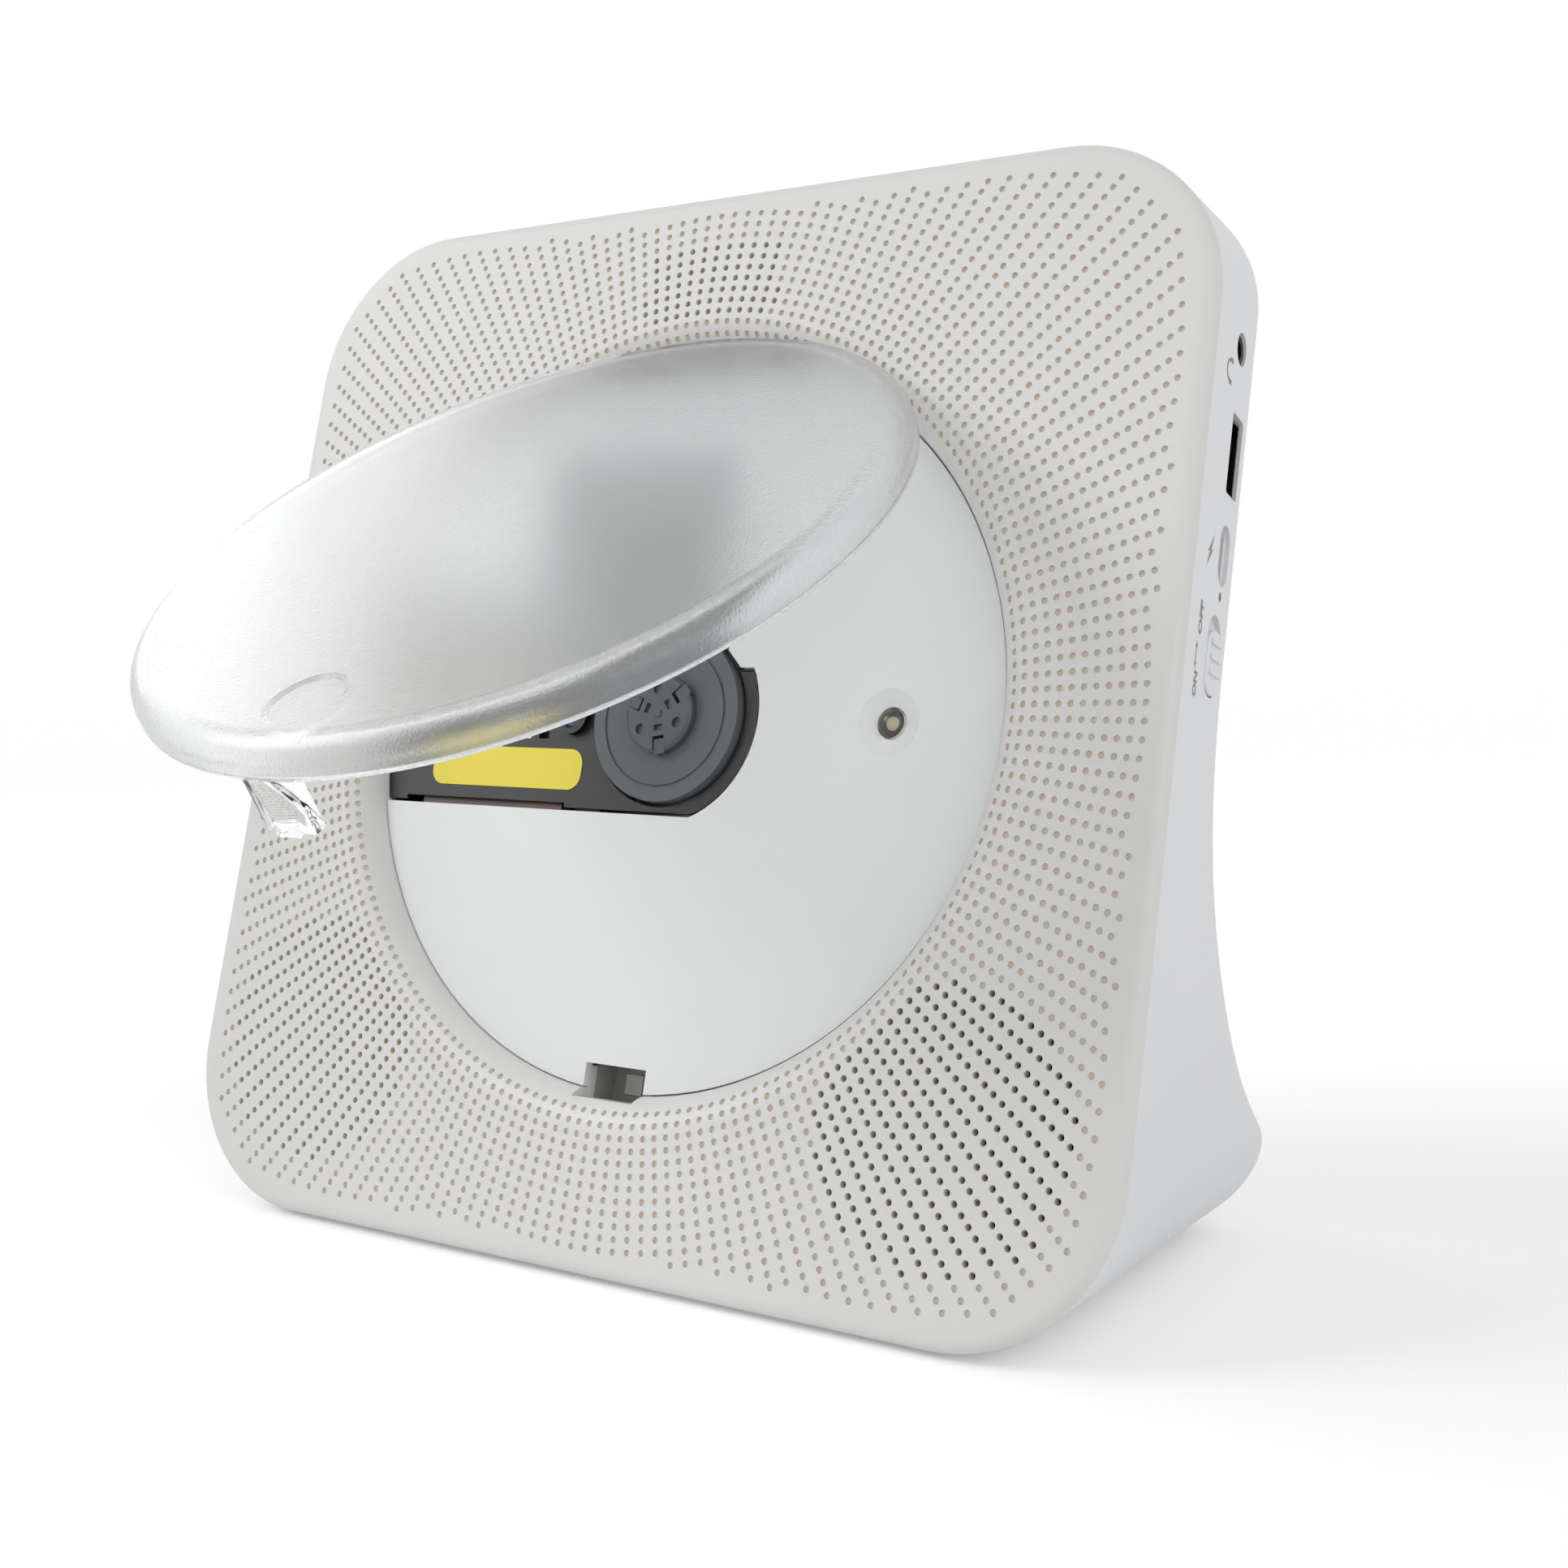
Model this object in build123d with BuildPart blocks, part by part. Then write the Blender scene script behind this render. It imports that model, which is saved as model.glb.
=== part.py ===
"""A compact disc player that leans back on its own foot and can also hang from two keyholes.

Frame: millimetres, +Z up, the front looks towards -Y, and the origin lies on the surface that the
player stands on, at the middle of its length and width with the lid open.
Most pieces are drawn on planes parallel to the leaning face: x runs to the right, s up along the
face from the centre of the disc well, and depth is the distance behind the face.
"""
from build123d import *
from math import atan2, ceil, cos, hypot, pi, radians, sin, sqrt, tan
import os

os.makedirs("parts", exist_ok=True)

# ---------------------------------------------------------------- driving dimensions: casing
lean = 14.2                  # the face leans back from upright, degrees
face_size = 205.0            # the front is a square of this side
corner_radius = 31.0         # front corners
bevel = 2.3                  # bevel round the face; the casing parts behind it
wall = 2.0                   # moulded wall
part_gap = 0.2               # gap between moulded pieces
side_draft = 5.0             # the sides draw in towards the back, degrees
slab_depth = 28.5            # the upper back lies this far behind the face
foot_depth = 90.0            # the back of the foot lies this far behind the face
top_corner_back = 8.0        # upper corner radius at the depth of the foot's back
low_corner_back = 20.0       # lower corner radius there
flare_start = 15.0           # the back begins to sweep out into the foot below this s
foot_top = -66.0             # centre of the rounding on top of the foot
foot_round = 8.0             # rounding on top of the foot
back_round = 5.0             # rounding of the back edges
skirt_length = 3.0           # the front cover's skirt inside the housing
skirt_wall = 1.5
# ---------------------------------------------------------------- driving dimensions: hole pattern
hole_columns = 200           # holes round the well
ring_pitch = 2.163           # step from ring to ring
first_ring = 78.26           # first ring on the flat face
hole_radius = 0.62
hole_field_half = 97.9       # the pattern fills a rounded square of this half side
hole_field_corner = 27.0
# ---------------------------------------------------------------- driving dimensions: disc well
well_radius = 70.4
lip_round = 7.0              # quarter round from the face down into the well
deck_drop = 5.6              # the deck lies this far behind the face
deck_wall = 2.0
flange_width = 6.1           # the deck's rim that reaches under the lip
window_half_height = 18.9    # height of the window beside the turntable
bowl_radius = 20.6           # the window's round end
window_left_step = -33.0     # left side of the window's upper part
window_right_step = 12.0
window_top = 47.0
window_notch = 9.6           # the right edge steps in at this height, with its corner cut off
window_notch_cut = 3.2
window_corner = 3.0
lamp_x = 48.0
lamp_dish_radius = 6.1
lamp_dish_depth = 1.5
lamp_radius = 2.8
lamp_stand = 0.5             # the lamp's dome stands this far above the deck
latch_slot_width = 13.7
latch_slot_low = -71.8
latch_slot_high = -65.5
# ---------------------------------------------------------------- driving dimensions: lid and hinge
lid_radius = 69.2
lid_thickness = 6.3
lid_wall = 2.0
lid_edge_round = 4.8
lid_stand = 1.1              # the closed lid stands this far out of the face
lid_opening = 43.2           # opened, as modelled, degrees
hinge_s = 68.4
hinge_depth = 7.26
pin_radius = 1.0
pin_clearance = 0.05
ear_radius = 3.0
ear_outer_x = 20.5
ear_inner_x = 15.0
notch_half_width = 23.5
notch_low = 64.6
notch_high = 73.1
dimple_x = 1.0
dimple_s = -56.7
dimple_radius = 6.0
dimple_depth = 0.6
hook_s = -67.9
hook_width = 10.0
hook_length = 9.4
hook_wall = 2.2
# ---------------------------------------------------------------- driving dimensions: gears
damper_module = 0.5
damper_teeth = 16
sector_teeth = 32            # of the full circle that the lid's sector is cut from
drive_module = 0.5
drive_teeth = 44
motor_teeth = 10
rack_module = 0.6
rack_pinion_teeth = 14
backlash = 0.14
pressure_angle = 20.0
# ---------------------------------------------------------------- driving dimensions: disc mechanism
platter_depth = 4.8          # the disc rests at this depth
platter_radius = 16.4
platter_wall = 1.6
platter_gap = 0.8
mat_groove_radius = 13.5
hub_radius = 7.4             # fits the 15 mm hole of a disc
hub_rise = 2.1
hub_lead = 0.5
shaft_radius = 0.8
shaft_clearance = 0.03
jaw_angle = 40.0             # first of three jaws
jaw_width = 2.4
jaw_travel = 0.5
jaw_proud = 0.35
jaw_gap = 0.1
cover_depth = 6.4
cover_wall = 1.2
cover_gap = 0.7
lens_slot_half = 4.9
lens_slot_left = -64.0
lens_slot_right = -15.0
lens_x = -24.0
lens_radius = 2.4
sled_travel = 34.0
sled_top = 8.4
sled_thickness = 8.4
sled_half_height = 10.5
sled_left = -34.5
sled_right = -17.5
rod_offset = 14.0
rod_depth = 14.0
rod_radius = 1.5
rod_clearance = 0.05
bushing_radius = 2.9
rack_line = 19.0
gear_x = -30.0
drive_gear_depth = 8.6
drive_gear_width = 1.4
pinion_depth = 10.3
pinion_width = 3.6
motor_bearing = 40.0         # direction from the drive gear to its motor, degrees
motor_radius = 7.5
motor_length = 8.0
chassis_depth = 19.2
chassis_wall = 1.6
spindle_motor_radius = 11.5
spindle_motor_length = 8.6
# ---------------------------------------------------------------- driving dimensions: right side
jack_s, jack_depth, jack_mouth = 68.4, 16.7, 2.85
usb_s, usb_depth, usb_length, usb_width = 50.0, 18.9, 14.1, 6.5
charge_s, charge_depth, charge_length, charge_width = 32.5, 18.5, 10.5, 5.7
signal_s, signal_depth, signal_radius = 25.4, 18.6, 0.6
power_s, power_depth, power_length, power_width = 14.9, 17.6, 14.0, 7.5
power_travel = 2.3
recess_depth = 1.1
knob_stand = 0.9
knob_gap = 0.3
plug_radius = 1.8            # 3.5 mm plug with clearance
board_depth = 22.6
board_wall = 1.6
# ---------------------------------------------------------------- driving dimensions: top keys
key_pitch = 15.0
key_length = 10.0
key_width = 5.5
key_depth = 13.0
key_stand = 0.6
key_travel = 0.8
key_gap = 0.25
key_names = ["key_previous", "key_play", "key_next", "key_volume_down", "key_volume_up"]
# ---------------------------------------------------------------- driving dimensions: sound and power
speaker_x, speaker_s = 75.0, -72.0
speaker_radius = 22.0
speaker_hole_x, speaker_hole_s, speaker_hole_radius = 70.0, -68.0, 24.0
display_half_width, display_low, display_high = 15.5, 77.0, 91.5
battery_length, battery_height, battery_width = 68.0, 19.0, 37.0
battery_s, battery_depth = -68.5, 56.0
# ---------------------------------------------------------------- driving dimensions: fixings and feet
screw_radius = 1.2
head_radius = 2.8
head_height = 1.6
boss_radius = 3.6
pilot_radius = 1.2
screw_clearance = 0.3
upper_screw_x, upper_screw_s = 86.0, 86.0
lower_screw_x, lower_screw_s = 91.0, -36.0
pad_radius = 6.0
pad_stand = 1.0
pad_sunk = 1.0
pad_x = 64.0
pad_front_y = 14.0           # from the front edge of the bottom
pad_back_y = 20.0            # from the back of the foot
keyhole_spacing = 100.0
keyhole_s = 62.0
keyhole_entry = 4.5
keyhole_neck = 2.3
keyhole_rise = 8.0

# ---------------------------------------------------------------- worked-out sizes and planes
half = face_size / 2
lean_sin, lean_cos, lean_tan = sin(radians(lean)), cos(radians(lean)), tan(radians(lean))
face_z = half * lean_cos + bevel * lean_sin + pad_stand
open_sin, open_cos = sin(radians(lid_opening)), cos(radians(lid_opening))
lid_round_s = -(lid_radius - lid_edge_round) - hinge_s
lid_round_out = lid_stand - lid_edge_round + hinge_depth
front_s = hinge_s + lid_round_s * open_cos + lid_round_out * open_sin
front_out = -hinge_depth - lid_round_s * open_sin + lid_round_out * open_cos
front_reach = front_s * lean_sin - front_out * lean_cos - lid_edge_round
back_reach = foot_top * lean_sin + (foot_depth - foot_round) * lean_cos + foot_round
face_y = -(front_reach + back_reach) / 2
face_origin = (0, face_y, face_z)

face_plane = Plane(origin=face_origin, x_dir=(1, 0, 0), z_dir=(0, -lean_cos, lean_sin))
side_plane = Plane(origin=face_origin, x_dir=(0, lean_sin, lean_cos), z_dir=(1, 0, 0))
top_plane = Plane(origin=face_origin, x_dir=(1, 0, 0), z_dir=(0, lean_sin, lean_cos))
lid_lean = radians(lean + lid_opening)
hinge_point = face_plane.from_local_coords((0, hinge_s, -hinge_depth))
lid_up = Vector(0, sin(lid_lean), cos(lid_lean))
lid_out = Vector(0, -cos(lid_lean), sin(lid_lean))
lid_origin = hinge_point - lid_up * hinge_s + lid_out * hinge_depth
lid_plane = Plane(origin=lid_origin, x_dir=(1, 0, 0), z_dir=lid_out)
lid_side_plane = Plane(origin=lid_origin, x_dir=lid_up, z_dir=(1, 0, 0))

face_axis = Axis(face_origin, face_plane.z_dir)
flange_depth = lip_round + part_gap
flange_radius = well_radius + flange_width
housing_back = slab_depth - wall
hub_top = platter_depth - hub_rise


def at_depth(depth):
    """The sketch plane parallel to the face at a depth behind it."""
    return face_plane.offset(-depth)


def at_side(x):
    """The sketch plane across the player at x, with s and minus the depth as its coordinates."""
    return side_plane.offset(x)


def at_height(s):
    """The sketch plane square to the face at height s, with x and the depth as its coordinates."""
    return top_plane.offset(s)


def desk_line(depth):
    """Where the flat bottom lies, as s, at a depth behind the face."""
    return -half + lean_tan * (depth - bevel)


def side_line(depth):
    """Half the width of the drafted body at a depth."""
    return half - tan(radians(side_draft)) * (depth - bevel)


def block(front, back, x_low, x_high, s_low, s_high, corner=0.0, mode=Mode.ADD, base=face_plane):
    """A block between two depths, with its four long corners rounded, in the part being built."""
    with BuildSketch(base.offset(-front)) as outline:
        with Locations(((x_low + x_high) / 2, (s_low + s_high) / 2)):
            if corner:
                RectangleRounded(x_high - x_low, s_high - s_low, corner)
            else:
                Rectangle(x_high - x_low, s_high - s_low)
    extrude(outline.sketch, amount=front - back, mode=mode)


def rod(front, back, radius, places, mode=Mode.ADD, base=face_plane):
    """Round rods square to the face at (x, s) places, in the part being built."""
    with BuildSketch(base.offset(-front)) as outline:
        with Locations(*places):
            Circle(radius)
    extrude(outline.sketch, amount=front - back, mode=mode)


def pipe(front, back, outer, inner, places):
    """Hollow round posts square to the face, in the part being built."""
    with BuildSketch(at_depth(front)) as outline:
        with Locations(*places):
            Circle(outer)
            Circle(inner, mode=Mode.SUBTRACT)
    extrude(outline.sketch, amount=front - back)


def cross_rod(x_low, x_high, radius, s, depth, mode=Mode.ADD, base=side_plane):
    """A round rod across the player, in the part being built."""
    with BuildSketch(base.offset(x_low)) as outline:
        with Locations((s, -depth)):
            Circle(radius)
    extrude(outline.sketch, amount=x_high - x_low, mode=mode)


def cross_block(x_low, x_high, length, width, s, depth, corner=0.0, mode=Mode.ADD, base=side_plane):
    """A block across the player with its cross section along s and the depth, in the part being built."""
    with BuildSketch(base.offset(x_low)) as outline:
        with Locations((s, -depth)):
            if corner:
                RectangleRounded(length, width, corner)
            else:
                Rectangle(length, width)
    extrude(outline.sketch, amount=x_high - x_low, mode=mode)


def screws(seat, length, places, head_towards_back=True):
    """Pan-head screws square to the face, their heads seated at one depth, in the part being built."""
    way = 1 if head_towards_back else -1
    tip = seat - way * length
    head_end = seat + way * head_height
    rod(min(tip, seat), max(tip, seat), screw_radius, places)
    rod(min(seat, head_end), max(seat, head_end), head_radius, places)
    with BuildSketch(at_depth(head_end)) as slots:
        with Locations(*places):
            Rectangle(head_radius * 1.2, head_radius / 4)
            Rectangle(head_radius / 4, head_radius * 1.2)
    extrude(slots.sketch, amount=way * head_height / 2, mode=Mode.SUBTRACT)


def gear_outline(module, teeth, turned=0.0, only=None):
    """An involute gear in the sketch being built, a tooth at the turned angle; only picks its teeth."""
    pitch = module * teeth / 2
    base = pitch * cos(radians(pressure_angle))
    root = pitch - 1.25 * module
    tip = pitch + module
    rolled = tan(radians(pressure_angle)) - radians(pressure_angle)
    half_tooth = (pi * module / 2 - backlash) / 2 / pitch
    start = max(base, root)
    flank = []
    for step in range(5):
        radius = start + (tip - start) * step / 4
        turn = sqrt(max(0, (radius / base) ** 2 - 1))
        flank.append((radius, half_tooth + rolled - (turn - atan2(turn, 1))))
    low = [(root * 0.96 * cos(flank[0][1]), root * 0.96 * sin(flank[0][1]))]
    upper = low + [(radius * cos(angle), radius * sin(angle)) for radius, angle in flank]
    lower = [(x, -y) for x, y in reversed(upper)]
    with BuildLine() as tooth_line:
        Polyline(*upper, *lower, close=True)
    tooth = make_face(tooth_line.edges(), mode=Mode.PRIVATE)
    if only is None:
        Circle(root)
    for count in only or range(teeth):
        add(tooth.rotate(Axis.Z, turned + count * 360 / teeth))


def turned(profile, x, s):
    """A ring turned round an axis square to the face at (x, s), from (radius, depth) points."""
    with BuildSketch(at_side(x)) as outline:
        with BuildLine() as profile_line:
            Polyline(*[(s + radius, -depth) for radius, depth in profile], close=True)
        make_face(profile_line.edges())
    revolve(outline.sketch, axis=Axis(face_plane.from_local_coords((x, s, 0)), face_plane.z_dir))


# ---------------------------------------------------------------- casing forms
def body_section(depth, inset):
    """One cross section of the drafted body, drawn in by inset, in the sketch being built."""
    side = side_line(depth) - inset
    top = half - inset
    bottom = desk_line(depth) + inset / lean_cos
    share = (depth - bevel) / (foot_depth - bevel)
    high = corner_radius + (top_corner_back - corner_radius) * share - inset
    low = corner_radius + (low_corner_back - corner_radius) * share - inset
    high_in, low_in = high * (1 - sqrt(0.5)), low * (1 - sqrt(0.5))
    with BuildLine() as outline:
        Line((side - low, bottom), (low - side, bottom))
        ThreePointArc((low - side, bottom), (low_in - side, bottom + low_in), (-side, bottom + low))
        Line((-side, bottom + low), (-side, top - high))
        ThreePointArc((-side, top - high), (high_in - side, top - high_in), (high - side, top))
        Line((high - side, top), (side - high, top))
        ThreePointArc((side - high, top), (side - high_in, top - high_in), (side, top - high))
        Line((side, top - high), (side, bottom + low))
        ThreePointArc((side, bottom + low), (side - low_in, bottom + low_in), (side - low, bottom))
    make_face(outline.edges())


def body_side_view(inset):
    """The body seen from its side, drawn in by inset, in the sketch being built."""
    slab = slab_depth - inset
    rear = foot_depth - inset
    rounding = foot_round - inset
    top = half + wall
    arc_turn = radians(70)
    arc_start = (foot_top + rounding * sin(arc_turn), -(foot_depth - foot_round) - rounding * cos(arc_turn))
    arc_middle = (foot_top + rounding * sin(arc_turn / 2),
                  -(foot_depth - foot_round) - rounding * cos(arc_turn / 2))
    arc_end = (foot_top, -rear)
    slope = (-cos(arc_turn), -sin(arc_turn))
    with BuildLine() as outline:
        Line((top, bevel), (top, -slab))
        Line((top, -slab), (flare_start, -slab))
        Spline((flare_start, -slab), (-22.0 - inset * 0.5, -37.3 + inset * 0.8),
               (-45.5 - inset * 0.9, -59.5 + inset * 0.4), arc_start,
               tangents=[(-1, 0), slope])
        ThreePointArc(arc_start, arc_middle, arc_end)
        Line(arc_end, (-half - wall, -rear))
        Line((-half - wall, -rear), (-half - wall, bevel))
        Line((-half - wall, bevel), (top, bevel))
    make_face(outline.edges())


def body_form(inset, front):
    """The leaning body with its foot, drawn in by inset, in the part being built."""
    with BuildSketch(at_depth(front)) as near:
        body_section(front, inset)
    with BuildSketch(at_depth(foot_depth + wall)) as far:
        body_section(foot_depth + wall, inset)
    loft([near.sketch, far.sketch], ruled=True)
    with BuildSketch(at_side(-half - wall)) as side_view:
        body_side_view(inset)
    extrude(side_view.sketch, amount=face_size + 2 * wall, mode=Mode.INTERSECT)


def back_edges(solid, beyond):
    """The edges round the back of a body form, without the smooth joins that run across it."""
    chosen = ShapeList()
    for edge in solid.edges():
        ends = [face_plane.to_local_coords(vertex.center()) for vertex in edge.vertices()]
        behind = min(-end.Z for end in ends) > beyond
        across = abs(edge.tangent_at(0.5).X) > 0.99
        below_top = max(end.Y for end in ends) < half - 3 * wall
        if behind and not (across and below_top):
            chosen.append(edge)
    return chosen


with BuildPart() as housing_cavity:
    body_form(wall, bevel - 1)
    fillet(back_edges(housing_cavity.part, housing_back - back_round), back_round - wall)

with BuildPart() as skirt_form:
    with BuildSketch(at_depth(bevel + skirt_length)) as skirt_end:
        body_section(bevel + skirt_length, wall + part_gap)
    extrude(skirt_end.sketch, amount=skirt_length + bevel - wall)


# ---------------------------------------------------------------- the hole pattern of the front
def open_holes():
    """The (x, s) centres of the holes that go right through: over the speakers and the display."""
    places = []
    rings = ceil((hypot(half, half) - first_ring) / ring_pitch)
    inner = hole_field_half - hole_field_corner
    for ring in range(rings):
        radius = first_ring + ring * ring_pitch
        for column in range(hole_columns):
            turn = 2 * pi * column / hole_columns
            x = radius * sin(turn)
            s = radius * cos(turn)
            beyond = hypot(max(abs(x) - inner, 0), max(abs(s) - inner, 0))
            in_field = beyond < hole_field_corner
            to_speaker = hypot(abs(x) - speaker_hole_x, s - speaker_hole_s)
            over_speaker = to_speaker < speaker_hole_radius
            over_display = abs(x) < display_half_width and display_low < s < display_high
            if in_field and (over_speaker or over_display):
                places.append((x, s))
    return places


# ---------------------------------------------------------------- front cover
deck_ear_radius = well_radius + lip_round + boss_radius + 2 * part_gap
deck_ear_turns = [20, 160, 200, 340]
deck_ears = [(deck_ear_radius * cos(radians(turn)), deck_ear_radius * sin(radians(turn)))
             for turn in deck_ear_turns]
case_places = [(side * upper_screw_x, upper_screw_s) for side in (-1, 1)]
low_case_places = [(side * lower_screw_x, lower_screw_s) for side in (-1, 1)]
case_seat = housing_back - 1.5 * boss_radius
low_case_seat = 34.0
speaker_ear_shift = (speaker_radius + boss_radius - 0.6) * sqrt(0.5)
speaker_front = wall + 1.2
speaker_places = [(side * (speaker_x + way * speaker_ear_shift), speaker_s + way * speaker_ear_shift)
                  for side in (-1, 1) for way in (-1, 1)]
display_seat = 8.0
display_screw_x = display_half_width + 3 * pilot_radius

lip_inside = well_radius + wall
lip_rim = well_radius + lip_round + wall
with BuildPart() as well_lip:
    pipe(0, wall, lip_rim, well_radius, [(0, 0)])
    pipe(wall, lip_round, well_radius + lip_round, well_radius, [(0, 0)])
    lip_edges = well_lip.edges().filter_by(GeomType.CIRCLE).filter_by(lambda edge: edge.radius == well_radius)
    fillet(lip_edges.sort_by(face_axis)[-1], lip_round - 0.05)
    with BuildSketch(at_side(0)):
        with BuildLine():
            Polyline((lip_inside + 2 * wall, -1.3 * wall), (lip_inside + 3 * wall, -1.3 * wall),
                     (lip_inside + 3 * wall, -lip_round - 1), (lip_inside, -lip_round - 1),
                     (lip_inside, -lip_round + 0.8 * wall), (lip_inside + 0.8 * wall, -1.8 * wall),
                     close=True)
        make_face()
    revolve(axis=face_axis, mode=Mode.SUBTRACT)

with BuildPart() as front_cover:
    with BuildSketch(at_depth(bevel)):
        RectangleRounded(face_size, face_size, corner_radius)
    extrude(amount=bevel)
    chamfer(front_cover.faces().sort_by(face_axis)[-1].edges(), bevel - 0.01)
    with BuildSketch(at_depth(bevel)):
        with Locations((0, 0)):
            RectangleRounded(face_size - 2 * wall, face_size - 2 * wall, corner_radius - wall)
    extrude(amount=bevel - wall, mode=Mode.SUBTRACT)
    add(skirt_form.part)
    with BuildSketch(at_depth(bevel + skirt_length)) as skirt_inside:
        body_section(bevel + skirt_length, wall + part_gap + skirt_wall)
    extrude(skirt_inside.sketch, amount=skirt_length + bevel - wall, mode=Mode.SUBTRACT)
    rod(-1, wall + 1, lip_rim, [(0, 0)], mode=Mode.SUBTRACT)
    add(well_lip.part)
    block(-1, lip_round + 1, -notch_half_width - 3, notch_half_width + 3, notch_low, notch_high,
          mode=Mode.SUBTRACT)
    block(-1, lip_round + 1, -latch_slot_width / 2, latch_slot_width / 2, latch_slot_low, -well_radius + 6,
          mode=Mode.SUBTRACT)
    rod(-1, wall + 1, hole_radius, open_holes(), mode=Mode.SUBTRACT)
    pipe(wall, case_seat - wall, boss_radius, pilot_radius, case_places)
    pipe(wall, low_case_seat - wall, boss_radius, pilot_radius, low_case_places)
    pipe(wall, flange_depth, boss_radius - part_gap, pilot_radius, deck_ears)
    pipe(wall, speaker_front, boss_radius, pilot_radius, speaker_places)
    pipe(wall, display_seat, boss_radius - 1, pilot_radius,
         [(side * display_screw_x, (display_low + display_high) / 2) for side in (-1, 1)])
front_cover.part.label = "front_cover"
export_step(front_cover.part, "parts/front_cover.step")

# ---------------------------------------------------------------- rear housing
keyholes = [(side * keyhole_spacing / 2, keyhole_s) for side in (-1, 1)]
board_places = [(-52.0, -14.0), (-52.0, 50.0), (42.0, -14.0), (42.0, 50.0)]
jack_board_places = [(60.0, 12.0), (60.0, 74.0)]
low_post_end = 31.5
high_posts = [place for place in board_places + jack_board_places if place[1] > flare_start]
low_posts = [place for place in board_places if place[1] < flare_start] + jack_board_places[:1]
post_end = board_depth + board_wall
battery_front = battery_depth - battery_width / 2
battery_back = battery_depth + battery_width / 2
front_edge_y = face_plane.from_local_coords((0, -half, -bevel)).Y
back_edge_y = face_plane.from_local_coords((0, desk_line(foot_depth), -foot_depth)).Y
pad_places = [(side * pad_x, y) for side in (-1, 1)
              for y in (front_edge_y + pad_front_y, back_edge_y - pad_back_y)]
outer_side = half + wall
cradle_seat = battery_s - battery_height / 2 - wall


def recess_side(depth, sunk):
    """The x of a flat recess sunk into the drafted side wall at a depth."""
    return side_line(depth) - sunk


with BuildPart() as rear_housing:
    body_form(0, bevel)
    fillet(back_edges(rear_housing.part, slab_depth - back_round), back_round)
    add(housing_cavity.part, mode=Mode.SUBTRACT)
    cross_rod(half - 6 * wall, outer_side, jack_mouth, jack_s, jack_depth, mode=Mode.SUBTRACT)
    cross_block(half - 6 * wall, outer_side, usb_length, usb_width, usb_s, usb_depth, 0.6, mode=Mode.SUBTRACT)
    cross_rod(half - 6 * wall, outer_side, signal_radius + part_gap, signal_s, signal_depth,
              mode=Mode.SUBTRACT)
    cross_block(recess_side(charge_depth, recess_depth), outer_side, charge_length, charge_width, charge_s,
                charge_depth, charge_width / 2 - 0.01, mode=Mode.SUBTRACT)
    cross_block(half - 6 * wall, outer_side, charge_length - 2 * part_gap, charge_width - 2 * part_gap - 1,
                charge_s, charge_depth, charge_width / 2 - 0.75, mode=Mode.SUBTRACT)
    cross_block(recess_side(power_depth, recess_depth), outer_side, power_length, power_width, power_s,
                power_depth, power_width / 2 - 0.01, mode=Mode.SUBTRACT)
    cross_block(half - 6 * wall, outer_side, power_length / 2, power_width / 2, power_s, power_depth,
                mode=Mode.SUBTRACT)
    with BuildSketch(at_height(half - 2 * wall)):
        with Locations(*[((count - 2) * key_pitch, key_depth) for count in range(len(key_names))]):
            RectangleRounded(key_length + 2 * key_gap, key_width + 2 * key_gap, 1.2)
    extrude(amount=3 * wall, mode=Mode.SUBTRACT)
    rod(housing_back - 1, slab_depth + 1, keyhole_entry, keyholes, mode=Mode.SUBTRACT)
    for x, s in keyholes:
        block(housing_back - 1, slab_depth + 1, x - keyhole_neck, x + keyhole_neck, s, s + keyhole_rise,
              keyhole_neck - 0.01, mode=Mode.SUBTRACT)
    case_columns = case_places + low_case_places
    rod(case_seat - wall, housing_back + 0.5, boss_radius + wall / 2, case_places)
    rod(case_seat, slab_depth + 1, head_radius + screw_clearance, case_places, mode=Mode.SUBTRACT)
    low_column_end = 46.0
    rod(low_case_seat - wall, low_column_end, boss_radius + wall / 2, low_case_places)
    rod(low_case_seat, low_column_end + 4 * wall, head_radius + screw_clearance, low_case_places,
        mode=Mode.SUBTRACT)
    rod(bevel, low_column_end, screw_radius + screw_clearance, case_columns, mode=Mode.SUBTRACT)
    pipe(post_end, housing_back + 0.5, boss_radius, pilot_radius, high_posts)
    pipe(post_end, low_post_end, boss_radius, pilot_radius, low_posts)
    for side in (-1, 1):
        with BuildSketch(at_side(side * battery_length / 3 - wall / 2)):
            with BuildLine():
                Polyline((desk_line(battery_front) + wall / 2, -battery_front), (cradle_seat, -battery_front),
                         (cradle_seat, -battery_back), (desk_line(battery_back) + wall / 2, -battery_back),
                         close=True)
            make_face()
        extrude(amount=wall)
    with BuildSketch(Plane.XY.offset(pad_stand)) as pad_pockets:
        with Locations(*pad_places):
            Circle(pad_radius + part_gap)
    extrude(pad_pockets.sketch, amount=pad_sunk, mode=Mode.SUBTRACT)
rear_housing.part.label = "rear_housing"
export_step(rear_housing.part, "parts/rear_housing.step")

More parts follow.
